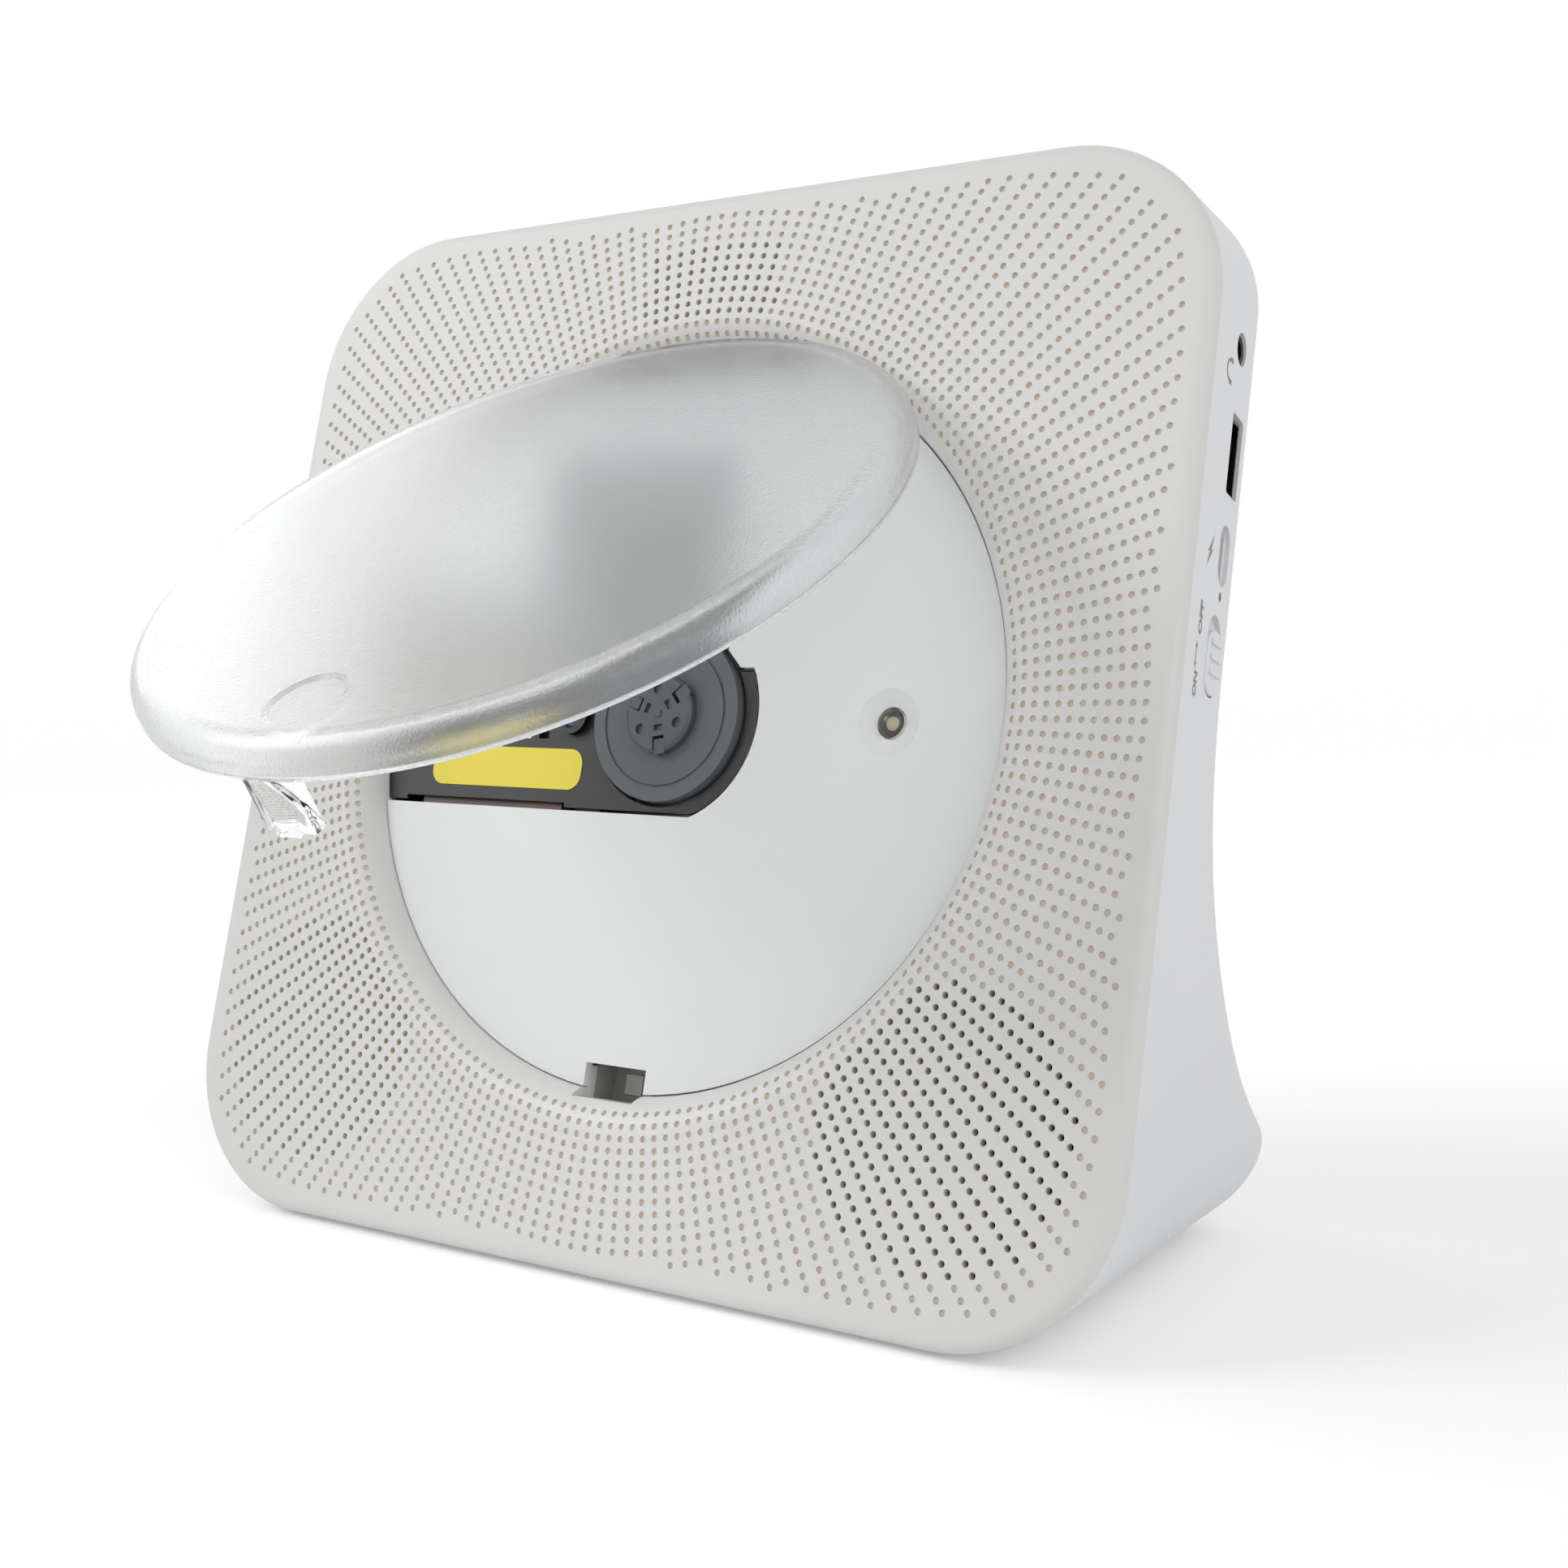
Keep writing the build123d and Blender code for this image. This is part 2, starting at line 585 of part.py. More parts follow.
# ---------------------------------------------------------------- deck plate
def well_window(grow, left_radius):
    """The window's outline grown by grow all round, cut off at left_radius, in the sketch being built."""
    low = -window_half_height - grow
    with BuildLine() as outline:
        bowl = bowl_radius + grow
        start = (sqrt(bowl ** 2 - low ** 2), low)
        notch = (sqrt(bowl ** 2 - (window_notch + grow) ** 2), window_notch + grow)
        step = window_right_step + grow
        cut = window_notch_cut + grow / 2
        top = window_top + grow
        left = window_left_step - grow
        Line((-well_radius - wall, low), start)
        ThreePointArc(start, (bowl * cos(radians(-20)), bowl * sin(radians(-20))), notch)
        Line(notch, (step + cut, notch[1]))
        Line((step + cut, notch[1]), (step, notch[1] + cut))
        Line((step, notch[1] + cut), (step, top))
        Line((step, top), (left, top))
        Line((left, top), (left, -low))
        Line((left, -low), (-well_radius - wall, -low))
        Line((-well_radius - wall, -low), (-well_radius - wall, low))
    make_face(outline.edges())
    Circle(left_radius, mode=Mode.INTERSECT)


def window_corners(solid, grow):
    """The edges at the two upper corners of the window's outline, grown by grow, on a solid."""
    found = []
    for edge in solid.edges().filter_by(face_axis):
        place = face_plane.to_local_coords(edge.center())
        for x in (window_left_step - grow, window_right_step + grow):
            if hypot(place.X - x, place.Y - window_top - grow) < 0.1:
                found.append(edge)
    return found


latch_post_x = latch_slot_width / 2 + 2 * boss_radius
latch_depth_seat = 11.0
latch_posts = [(side * latch_post_x, latch_slot_high + boss_radius) for side in (-1, 1)]
mount_places = [(-66.5, 26.0), (-66.5, -26.0), (30.0, -10.0), (20.0, 42.0)]
grommet_height = 4.0
mount_seat = chassis_depth - grommet_height / 2 + chassis_wall / 2
bracket_screw_x = notch_half_width + boss_radius + 1
bracket_screw_s = hinge_s + 1.0
bracket_places = [(side * bracket_screw_x, bracket_screw_s) for side in (-1, 1)]

with BuildPart() as deck_plate:
    rod(deck_drop, deck_drop + deck_wall, well_radius - part_gap, [(0, 0)])
    pipe(flange_depth, flange_depth + deck_wall, flange_radius, well_radius - 2 * wall, [(0, 0)])
    rod(flange_depth, flange_depth + deck_wall, boss_radius + 0.8, deck_ears)
    for x, s in deck_ears:
        side = 1 if x > 0 else -1
        block(flange_depth, flange_depth + deck_wall, min(x, x - side * 3 * boss_radius),
              max(x, x - side * 3 * boss_radius), s - boss_radius, s + boss_radius)
    rod(flange_depth - 1, flange_depth + deck_wall + 1, screw_radius + screw_clearance, deck_ears,
        mode=Mode.SUBTRACT)
    with BuildSketch(at_depth(deck_drop - 1)):
        well_window(0, well_radius + 0.6)
    extrude(amount=-(deck_wall + lip_round), mode=Mode.SUBTRACT)
    fillet(window_corners(deck_plate.part, 0), window_corner)
    block(deck_drop - 1, flange_depth + deck_wall + 1, -notch_half_width, notch_half_width, notch_low,
          flange_radius + 1, mode=Mode.SUBTRACT)
    block(deck_drop - 1, flange_depth + deck_wall + 1, -latch_slot_width / 2, latch_slot_width / 2,
          latch_slot_low, latch_slot_high, mode=Mode.SUBTRACT)
    rod(deck_drop + wall / 2, deck_drop + 3 * wall, lamp_dish_radius + wall / 2, [(lamp_x, 0)])
    dish_sphere = (lamp_dish_radius ** 2 + lamp_dish_depth ** 2) / (2 * lamp_dish_depth)
    with BuildSketch(at_side(lamp_x)):
        with Locations((0, -deck_drop + dish_sphere - lamp_dish_depth)):
            Circle(dish_sphere)
            Rectangle(dish_sphere, 2 * dish_sphere, align=(Align.MIN, Align.CENTER), mode=Mode.SUBTRACT)
    revolve(axis=Axis(face_plane.from_local_coords((lamp_x, 0, 0)), face_plane.z_dir), mode=Mode.SUBTRACT)
    rod(deck_drop, deck_drop + 3 * wall + 1, lamp_radius + part_gap / 2, [(lamp_x, 0)], mode=Mode.SUBTRACT)
    pipe(deck_drop + deck_wall, mount_seat - part_gap, boss_radius, pilot_radius, mount_places)
    pipe(deck_drop + deck_wall, latch_depth_seat, boss_radius, pilot_radius, latch_posts)
    rod(flange_depth - 1, flange_depth + deck_wall + 1, pilot_radius, bracket_places, mode=Mode.SUBTRACT)
deck_plate.part.label = "deck_plate"
export_step(deck_plate.part, "parts/deck_plate.step")


# ---------------------------------------------------------------- lid and hinge
lid_back = lid_thickness - lid_stand
sector_low_x = -12.0
sector_width = 3.0
sector_pitch = damper_module * sector_teeth / 2
damper_pitch = damper_module * damper_teeth / 2
damper_s = hinge_s
damper_depth = hinge_depth + sector_pitch + damper_pitch
sector_reach = ceil(lid_opening / (360 / sector_teeth)) + 1
line_of_centres = -90.0

with BuildPart() as lid_hollow:
    rod(lid_wall - lid_stand, lid_back + 1, lid_radius - lid_wall, [(0, 0)], base=lid_plane)
    fillet(lid_hollow.faces().sort_by(Axis(lid_origin, lid_out))[-1].edges(), lid_edge_round - lid_wall)

with BuildPart() as lid:
    rod(-lid_stand, lid_back, lid_radius, [(0, 0)], base=lid_plane)
    fillet(lid.faces().sort_by(Axis(lid_origin, lid_out))[-1].edges(), lid_edge_round)
    add(lid_hollow.part, mode=Mode.SUBTRACT)
    dimple_sphere = (dimple_radius ** 2 + dimple_depth ** 2) / (2 * dimple_depth)
    with Locations(lid_plane.from_local_coords((dimple_x, dimple_s, lid_stand + dimple_sphere - dimple_depth))):
        Sphere(dimple_sphere, mode=Mode.SUBTRACT)
    block(lid_back - wall, lid_back + hook_length, dimple_x - hook_width / 2 - 1, dimple_x + hook_width / 2 - 1,
          hook_s - hook_wall / 2, hook_s + hook_wall / 2, base=lid_plane)
    block(lid_back + hook_length - 2 * hook_wall / 2, lid_back + hook_length, -hook_width / 4, hook_width / 4,
          hook_s - hook_wall, hook_s, base=lid_plane)
    for side in (-1, 1):
        ear_low = min(side * ear_inner_x, side * ear_outer_x)
        ear_high = max(side * ear_inner_x, side * ear_outer_x)
        cross_rod(ear_low, ear_high, ear_radius, hinge_s, hinge_depth, base=lid_side_plane)
        block(lid_back - wall, hinge_depth, ear_low, ear_high, notch_low + part_gap + 0.1, hinge_s,
              base=lid_plane)
        cross_rod(ear_low - 1, ear_high + 1, pin_radius + pin_clearance, hinge_s, hinge_depth,
                  mode=Mode.SUBTRACT, base=lid_side_plane)
    with BuildSketch(Plane(origin=side_plane.offset(sector_low_x).from_local_coords((hinge_s, -hinge_depth, 0)),
                           x_dir=side_plane.x_dir, z_dir=(1, 0, 0))) as sector:
        gear_outline(damper_module, sector_teeth, line_of_centres, range(-sector_reach, 2))
        web = sector_pitch - 1.2 * damper_module
        with BuildLine() as web_line:
            first = radians(line_of_centres - sector_reach * 360 / sector_teeth - 4)
            last = radians(line_of_centres + 360 / sector_teeth + 4)
            middle = (first + last) / 2
            Line((0, 0), (web * cos(first), web * sin(first)))
            ThreePointArc((web * cos(first), web * sin(first)), (web * cos(middle), web * sin(middle)),
                          (web * cos(last), web * sin(last)))
            Line((web * cos(last), web * sin(last)), (0, 0))
        make_face(web_line.edges())
        Circle(ear_radius)
        Circle(pin_radius + pin_clearance, mode=Mode.SUBTRACT)
    extrude(sector.sketch, amount=sector_width)
    block(lid_back - wall, hinge_depth - pin_radius - 0.3, sector_low_x, sector_low_x + sector_width,
          notch_low + part_gap + 0.1, hinge_s, base=lid_plane)
lid.part.label = "lid"
export_step(lid.part, "parts/lid.step")


def spring_coil(plane, radius, wire, turns, pitch):
    """A wound wire spring along a plane's normal, in the part being built."""
    with BuildLine() as winding:
        Helix(pitch, turns * pitch, radius, center=plane.origin, direction=plane.z_dir)
    with BuildSketch(Plane(origin=winding.line @ 0, z_dir=winding.line % 0)) as section:
        Circle(wire / 2)
    sweep(section.sketch, path=winding.line, is_frenet=True)


bracket_floor = 12.4
cheek_inner, cheek_outer = 21.0, 23.2
cheek_radius = 2.6
bracket_wall = 1.6
bracket_top = flange_depth + deck_wall
with BuildPart() as hinge_bracket:
    block(bracket_floor, bracket_floor + bracket_wall, -cheek_outer, cheek_outer, hinge_s - 8, hinge_s + 9)
    for side in (-1, 1):
        low = min(side * cheek_inner, side * cheek_outer)
        high = max(side * cheek_inner, side * cheek_outer)
        cross_rod(low, high, cheek_radius, hinge_s, hinge_depth)
        block(hinge_depth, bracket_floor + bracket_wall, low, high, hinge_s - cheek_radius, hinge_s + cheek_radius)
        wing_end = side * (bracket_screw_x + boss_radius)
        block(bracket_top, bracket_top + bracket_wall, min(side * cheek_inner, wing_end),
              max(side * cheek_inner, wing_end), hinge_s - cheek_radius, hinge_s + 1.6 * cheek_radius)
        cross_rod(low - 1, high + 1, pin_radius, hinge_s, hinge_depth, mode=Mode.SUBTRACT)
    rod(bracket_top - 1, bracket_top + 3, screw_radius + screw_clearance, bracket_places, mode=Mode.SUBTRACT)
    block(bracket_floor - 1, bracket_floor + bracket_wall + 1, sector_low_x - 0.6,
          sector_low_x + sector_width + 0.6, hinge_s - 8 - 1, hinge_s + 9 + 1, mode=Mode.SUBTRACT)
    block(bracket_floor + bracket_wall, damper_depth + 6.0, sector_low_x + sector_width + 8.4,
          sector_low_x + sector_width + 10.4, damper_s - 5, damper_s + 5)
hinge_bracket.part.label = "hinge_bracket"
export_step(hinge_bracket.part, "parts/hinge_bracket.step")

with BuildPart() as hinge_pin:
    cross_rod(-cheek_outer, cheek_outer, pin_radius, hinge_s, hinge_depth)
hinge_pin.part.label = "hinge_pin"
export_step(hinge_pin.part, "parts/hinge_pin.step")

spring_wire = 0.5
spring_radius = pin_radius + spring_wire
with BuildPart() as lid_spring:
    spring_start = side_plane.offset(-4.0).from_local_coords((hinge_s, -hinge_depth, 0))
    spring_coil(Plane(origin=spring_start, x_dir=side_plane.x_dir, z_dir=(1, 0, 0)), spring_radius, spring_wire,
                10, 0.8)
lid_spring.part.label = "lid_spring"
export_step(lid_spring.part, "parts/lid_spring.step")

damper_gap = 0.4
damper_shaft_radius = 1.2
damper_gear_low = sector_low_x - 0.2
damper_gear_width = sector_width + 0.4
damper_body_low = damper_gear_low + damper_gear_width + damper_gap
damper_body_length = sector_low_x + sector_width + 8.4 - damper_body_low
damper_centre = (damper_s, -damper_depth)
with BuildPart() as damper_gear:
    with BuildSketch(Plane(origin=side_plane.offset(damper_gear_low).from_local_coords((*damper_centre, 0)),
                           x_dir=side_plane.x_dir, z_dir=(1, 0, 0))) as damper_teeth_sketch:
        gear_outline(damper_module, damper_teeth, -line_of_centres + 180 / damper_teeth)
    extrude(damper_teeth_sketch.sketch, amount=damper_gear_width)
    cross_rod(damper_gear_low, damper_body_low + damper_body_length / 2, damper_shaft_radius, damper_s,
              damper_depth)
damper_gear.part.label = "damper_gear"
export_step(damper_gear.part, "parts/damper_gear.step")

with BuildPart() as damper_body:
    cross_rod(damper_body_low, damper_body_low + damper_body_length, 5.0, damper_s, damper_depth)
    cross_rod(damper_body_low - 1, damper_body_low + damper_body_length / 2 + 0.5,
              damper_shaft_radius + pin_clearance, damper_s, damper_depth, mode=Mode.SUBTRACT)
damper_body.part.label = "damper_body"
export_step(damper_body.part, "parts/damper_body.step")

# ---------------------------------------------------------------- latch
latch_middle = (latch_slot_low + latch_slot_high) / 2
latch_floor = 15.2
latch_floor_wall = 1.2
latch_travel = 2.0
plunger_front = 14.9
plunger_left, plunger_right = -4.1, -0.3
plunger_half_height = 1.9
plunger_flange = 1.1
plunger_flange_front = 16.9
plunger_back = plunger_flange_front + plunger_flange
latch_case_back = plunger_back + latch_travel + 1 + wall
slide_gap = 0.1
spring_room = latch_case_back - wall - plunger_back
with BuildPart() as latch_case:
    block(flange_depth + deck_wall + part_gap, latch_case_back, -latch_slot_width / 2 - wall,
          latch_slot_width / 2 + wall, latch_slot_low - wall, latch_slot_high + wall, 0.8)
    block(deck_drop, latch_floor, -latch_slot_width / 2, latch_slot_width / 2, latch_slot_low, latch_slot_high,
          mode=Mode.SUBTRACT)
    block(latch_floor - 1, latch_case_back - wall, plunger_left - slide_gap, plunger_right + slide_gap,
          latch_middle - plunger_half_height - slide_gap, latch_middle + plunger_half_height + slide_gap,
          mode=Mode.SUBTRACT)
    block(latch_floor + latch_floor_wall, latch_case_back - wall, plunger_left - plunger_flange - slide_gap,
          plunger_right + plunger_flange + slide_gap, latch_middle - plunger_half_height - plunger_flange,
          latch_middle + plunger_half_height + plunger_flange, mode=Mode.SUBTRACT)
    block(latch_depth_seat, latch_depth_seat + wall, -latch_post_x - boss_radius, -latch_slot_width / 2,
          latch_posts[0][1] - boss_radius, latch_posts[0][1] + boss_radius)
    block(latch_depth_seat, latch_depth_seat + wall, latch_slot_width / 2, latch_post_x + boss_radius,
          latch_posts[1][1] - boss_radius, latch_posts[1][1] + boss_radius)
    rod(latch_depth_seat - 1, latch_depth_seat + wall + 1, screw_radius + screw_clearance, latch_posts,
        mode=Mode.SUBTRACT)
latch_case.part.label = "latch_case"
export_step(latch_case.part, "parts/latch_case.step")

with BuildPart() as latch_slider:
    block(plunger_front, plunger_back, plunger_left, plunger_right, latch_middle - plunger_half_height,
          latch_middle + plunger_half_height)
    block(plunger_flange_front, plunger_back, plunger_left - plunger_flange, plunger_right + plunger_flange,
          latch_middle - plunger_half_height - plunger_flange + slide_gap,
          latch_middle + plunger_half_height + plunger_flange - slide_gap)
latch_slider.part.label = "latch_slider"
export_step(latch_slider.part, "parts/latch_slider.step")

with BuildPart() as latch_spring:
    spring_gap = 0.3
    spring_seat = face_plane.from_local_coords(((plunger_left + plunger_right) / 2, latch_middle,
                                                -(latch_case_back - wall) + spring_gap))
    spring_coil(Plane(origin=spring_seat, x_dir=(1, 0, 0), z_dir=face_plane.z_dir), 1.6, spring_wire, 3,
                (spring_room - 2 * spring_gap) / 3)
latch_spring.part.label = "latch_spring"
export_step(latch_spring.part, "parts/latch_spring.step")

# ---------------------------------------------------------------- deck lamp
lamp_top = deck_drop - lamp_stand
lamp_foot = deck_drop + 3 * wall
with BuildPart() as deck_lamp:
    rod(lamp_top, lamp_foot, lamp_radius, [(lamp_x, 0)])
    fillet(deck_lamp.faces().sort_by(face_axis)[-1].edges(), lamp_radius - 0.2)
    rod(lamp_foot, lamp_foot + 1, lamp_radius + 0.6, [(lamp_x, 0)])
    rod(lamp_foot + 1, board_depth, 0.3, [(lamp_x - 1.2, 0), (lamp_x + 1.2, 0)])
deck_lamp.part.label = "deck_lamp"
export_step(deck_lamp.part, "parts/deck_lamp.step")

# ---------------------------------------------------------------- disc mechanism: fixed pieces
cover_back = cover_depth + cover_wall
flex_half_wall = 0.1
flex_left, flex_right = -60.0, -24.0
cover_foot = -17.3
with BuildPart() as mechanism_cover:
    with BuildSketch(at_depth(cover_depth)) as cover_face:
        well_window(-cover_gap, well_radius - part_gap)
        Circle(platter_radius + platter_gap, mode=Mode.SUBTRACT)
        with Locations(((lens_slot_left + lens_slot_right) / 2, 0)):
            Rectangle(lens_slot_right - lens_slot_left, 2 * lens_slot_half, mode=Mode.SUBTRACT)
    extrude(cover_face.sketch, amount=-cover_wall)
    fillet(window_corners(mechanism_cover.part, -cover_gap), window_corner - cover_gap)
    block(cover_depth - 1, cover_back + 1, flex_left - 3, flex_right + 2, -window_half_height - 1, cover_foot,
          mode=Mode.SUBTRACT)
    for x, s in [(-57, 19.5), (-17, -19.5), (21.5, -5), (-10, 47.5)]:
        block(deck_drop + deck_wall, deck_drop + deck_wall + cover_wall, x - 3, x + 3, s - 3, s + 3, 0.5)
mechanism_cover.part.label = "mechanism_cover"
export_step(mechanism_cover.part, "parts/mechanism_cover.step")

label_thickness = 0.15
with BuildPart() as lens_label:
    block(cover_depth - label_thickness, cover_depth, -57, -19, -14.8, -6.8, 3.0)
lens_label.part.label = "lens_label"
export_step(lens_label.part, "parts/lens_label.step")

flex_s = -23.6
flex_depth = 8.3
with BuildPart() as flex_cable:
    block(flex_depth - flex_half_wall, flex_depth + flex_half_wall, flex_left, flex_right, flex_s,
          cover_foot + 0.9)
    block(flex_depth - flex_half_wall, board_depth, flex_left, flex_right, flex_s - flex_half_wall,
          flex_s + flex_half_wall)
flex_cable.part.label = "flex_cable"
export_step(flex_cable.part, "parts/flex_cable.step")

chassis_back = chassis_depth + chassis_wall
grommet_radius = 4.6
grommet_neck = 3.1
rod_left, rod_right = sled_left - sled_travel - 12.5, -10.0
rod_wall = 3.0
holder_top = rod_depth - 3.5
holder_half = 16.6
gear_post_radius = 1.0
gear_s = rack_line + rack_module * rack_pinion_teeth / 2
with BuildPart() as mechanism_chassis:
    block(chassis_depth, chassis_back, rod_left, 24, -21, 21, 2.0)
    block(chassis_depth, chassis_back, -35, 14, 15, 46, 2.0)
    rod(chassis_depth, chassis_back, 5.5, mount_places)
    block(chassis_depth, chassis_back, 20, mount_places[2][0], mount_places[2][1] - 4, mount_places[2][1] + 4)
    block(chassis_depth, chassis_back, 10, mount_places[3][0], mount_places[3][1] - 4, mount_places[3][1] + 4)
    for x, s in mount_places[:2]:
        block(chassis_depth, chassis_back, x - 5.5, x + 5.5, min(s, s * 0.7), max(s, s * 0.7))
    rod(chassis_depth - 1, chassis_back + 1, grommet_neck + 0.1, mount_places, mode=Mode.SUBTRACT)
    block(holder_top, chassis_depth, rod_left, rod_left + rod_wall, -holder_half, holder_half)
    for side in (-1, 1):
        block(holder_top, chassis_depth, rod_right - rod_wall, rod_right, min(side * 11, side * holder_half),
              max(side * 11, side * holder_half))
        cross_rod(rod_left - 1, rod_right + 1, rod_radius, side * rod_offset, rod_depth, mode=Mode.SUBTRACT)
    rod(drive_gear_depth + part_gap, chassis_depth, gear_post_radius, [(gear_x, gear_s)])
    rod(pinion_depth + pinion_width + 0.5, chassis_depth, 2.5 * gear_post_radius, [(gear_x, gear_s)])
mechanism_chassis.part.label = "mechanism_chassis"
export_step(mechanism_chassis.part, "parts/mechanism_chassis.step")

with BuildPart() as guide_rods:
    for side in (-1, 1):
        cross_rod(rod_left, rod_right, rod_radius, side * rod_offset, rod_depth)
guide_rods.part.label = "guide_rods"
export_step(guide_rods.part, "parts/guide_rods.step")

with BuildPart() as mount_grommets:
    rod(mount_seat, mount_seat + grommet_height, grommet_neck, mount_places)
    rod(mount_seat, chassis_depth, grommet_radius, mount_places)
    rod(chassis_back, mount_seat + grommet_height, grommet_radius, mount_places)
    rod(mount_seat - 1, mount_seat + grommet_height + 1, screw_radius + part_gap, mount_places,
        mode=Mode.SUBTRACT)
mount_grommets.part.label = "mount_grommets"
export_step(mount_grommets.part, "parts/mount_grommets.step")

spindle_top = chassis_depth - spindle_motor_length
with BuildPart() as spindle_motor:
    rod(spindle_top, chassis_depth, spindle_motor_radius, [(0, 0)])
    fillet(spindle_motor.faces().sort_by(face_axis)[-1].edges(), 0.8)
    rod(spindle_top - 0.7, spindle_top, 3.0, [(0, 0)])
    rod(spindle_top - 1, chassis_depth - 1, shaft_radius + shaft_clearance, [(0, 0)], mode=Mode.SUBTRACT)
spindle_motor.part.label = "spindle_motor"
export_step(spindle_motor.part, "parts/spindle_motor.step")

# ---------------------------------------------------------------- disc mechanism: turntable
platter_back = platter_depth + platter_wall
platter_boss_back = spindle_top - 0.7 - 0.4
with BuildPart() as turntable_shaft:
    rod(hub_top - part_gap, chassis_depth - 1.2, shaft_radius, [(0, 0)])
turntable_shaft.part.label = "turntable_shaft"
export_step(turntable_shaft.part, "parts/turntable_shaft.step")

with BuildPart() as platter:
    rod(platter_depth, platter_back, platter_radius, [(0, 0)])
    rod(platter_back, platter_boss_back, 5.0, [(0, 0)])
    pipe(platter_back, platter_back + 1.2, platter_radius, platter_radius - 1.2, [(0, 0)])
    with BuildSketch(at_depth(platter_depth)) as groove:
        Circle(mat_groove_radius + 0.25)
        Circle(mat_groove_radius - 0.25, mode=Mode.SUBTRACT)
    extrude(groove.sketch, amount=-0.3, mode=Mode.SUBTRACT)
    rod(platter_depth - 1, platter_boss_back + 1, shaft_radius, [(0, 0)], mode=Mode.SUBTRACT)
platter.part.label = "platter"
export_step(platter.part, "parts/platter.step")

jaw_angles = [jaw_angle + 120 * count for count in range(3)]
jaw_slot_start = 4.3
jaw_start = jaw_slot_start + jaw_travel + jaw_gap
jaw_front, jaw_back = hub_top + 0.3, platter_depth - 0.2
with BuildPart() as disc_hub:
    rod(hub_top, platter_depth, hub_radius, [(0, 0)])
    chamfer(disc_hub.faces().sort_by(face_axis)[-1].edges(), hub_lead)
    with BuildSketch(at_depth(hub_top - 1)) as jaw_slots:
        for angle in jaw_angles:
            with Locations(Location((0, 0), angle)):
                with Locations(((jaw_slot_start + hub_radius + 1) / 2, 0)):
                    Rectangle(hub_radius + 1 - jaw_slot_start, jaw_width + 2 * jaw_gap)
    extrude(jaw_slots.sketch, amount=hub_top - 1 - jaw_back - jaw_gap, mode=Mode.SUBTRACT)
    with BuildSketch(at_depth(hub_top)) as hub_recesses:
        for angle in jaw_angles:
            with Locations(Location((0, 0), angle)):
                with Locations((2.7, 0)):
                    Rectangle(1.1, 1.9)
            with Locations(Location((0, 0), angle - 60)):
                with Locations((4.8, 0)):
                    Circle(1.0)
    extrude(hub_recesses.sketch, amount=-0.6, mode=Mode.SUBTRACT)
    rod(hub_top - 1, platter_depth + 1, shaft_radius, [(0, 0)], mode=Mode.SUBTRACT)
disc_hub.part.label = "disc_hub"
export_step(disc_hub.part, "parts/disc_hub.step")

for number, angle in enumerate(jaw_angles, start=1):
    with BuildPart() as hub_jaw:
        with BuildSketch(at_depth(jaw_front)) as jaw_outline:
            with Locations(Location((0, 0), angle)):
                with Locations(((jaw_start + hub_radius + jaw_proud) / 2, 0)):
                    RectangleRounded(hub_radius + jaw_proud - jaw_start, jaw_width, 0.4)
        extrude(jaw_outline.sketch, amount=jaw_front - jaw_back)
    hub_jaw.part.label = f"hub_jaw_{number}"
    export_step(hub_jaw.part, f"parts/hub_jaw_{number}.step")

# ---------------------------------------------------------------- disc mechanism: laser sled and its drive
bushing_width = 8.0
bushing_edge = rod_offset + bushing_radius
with BuildPart() as laser_sled:
    block(sled_top, sled_top + sled_thickness, sled_left, sled_right, -sled_half_height, sled_half_height, 1.5)
    for side in (-1, 1):
        inner, outer = side * (sled_half_height - 1), side * bushing_edge
        for x in (sled_left, sled_right - bushing_width):
            block(rod_depth - bushing_radius, rod_depth + bushing_radius, x, x + bushing_width,
                  min(inner, outer), max(inner, outer))
        cross_rod(sled_left - 1, sled_right + 1, rod_radius + rod_clearance, side * rod_offset, rod_depth,
                  mode=Mode.SUBTRACT)
    rod(sled_top - 1.4, sled_top, lens_radius + 1.2, [(lens_x, 0)])
    rod(sled_top - 2, sled_top + 0.4, lens_radius, [(lens_x, 0)], mode=Mode.SUBTRACT)
    block(sled_top - 1, sled_top + 1.5, sled_left + 2, lens_x - 6, -sled_half_height + 2, sled_half_height - 2,
          mode=Mode.SUBTRACT)
laser_sled.part.label = "laser_sled"
export_step(laser_sled.part, "parts/laser_sled.step")

with BuildPart() as objective_lens:
    rod(sled_top - 1.2, sled_top + 0.4, lens_radius, [(lens_x, 0)])
    fillet(objective_lens.faces().sort_by(face_axis)[-1].edges(), 0.9)
objective_lens.part.label = "objective_lens"
export_step(objective_lens.part, "parts/objective_lens.step")

rack_left, rack_right = -35.0, 9.0
rack_pitch = pi * rack_module
rack_root = rack_line - 1.25 * rack_module
rack_slope = tan(radians(pressure_angle))
tooth_half = (rack_pitch / 2 - backlash) / 2
tooth_foot = tooth_half + 1.25 * rack_module * rack_slope
tooth_tip = tooth_half - rack_module * rack_slope
rack_first = ceil((rack_left + tooth_foot - gear_x) / rack_pitch - 0.5)
rack_count = int((rack_right - rack_left - 2 * tooth_foot) / rack_pitch)
with BuildPart() as sled_rack:
    block(pinion_depth, pinion_depth + pinion_width, rack_left, rack_right, bushing_edge, rack_root)
    with BuildSketch(at_depth(pinion_depth)) as rack_teeth:
        for count in range(rack_count):
            centre = gear_x + (rack_first + count + 0.5) * rack_pitch
            with BuildLine() as rack_tooth:
                Polyline((centre - tooth_foot, rack_root - 0.2), (centre - tooth_foot, rack_root),
                         (centre - tooth_tip, rack_line + rack_module),
                         (centre + tooth_tip, rack_line + rack_module), (centre + tooth_foot, rack_root),
                         (centre + tooth_foot, rack_root - 0.2), close=True)
            make_face(rack_tooth.edges())
    extrude(rack_teeth.sketch, amount=-pinion_width)
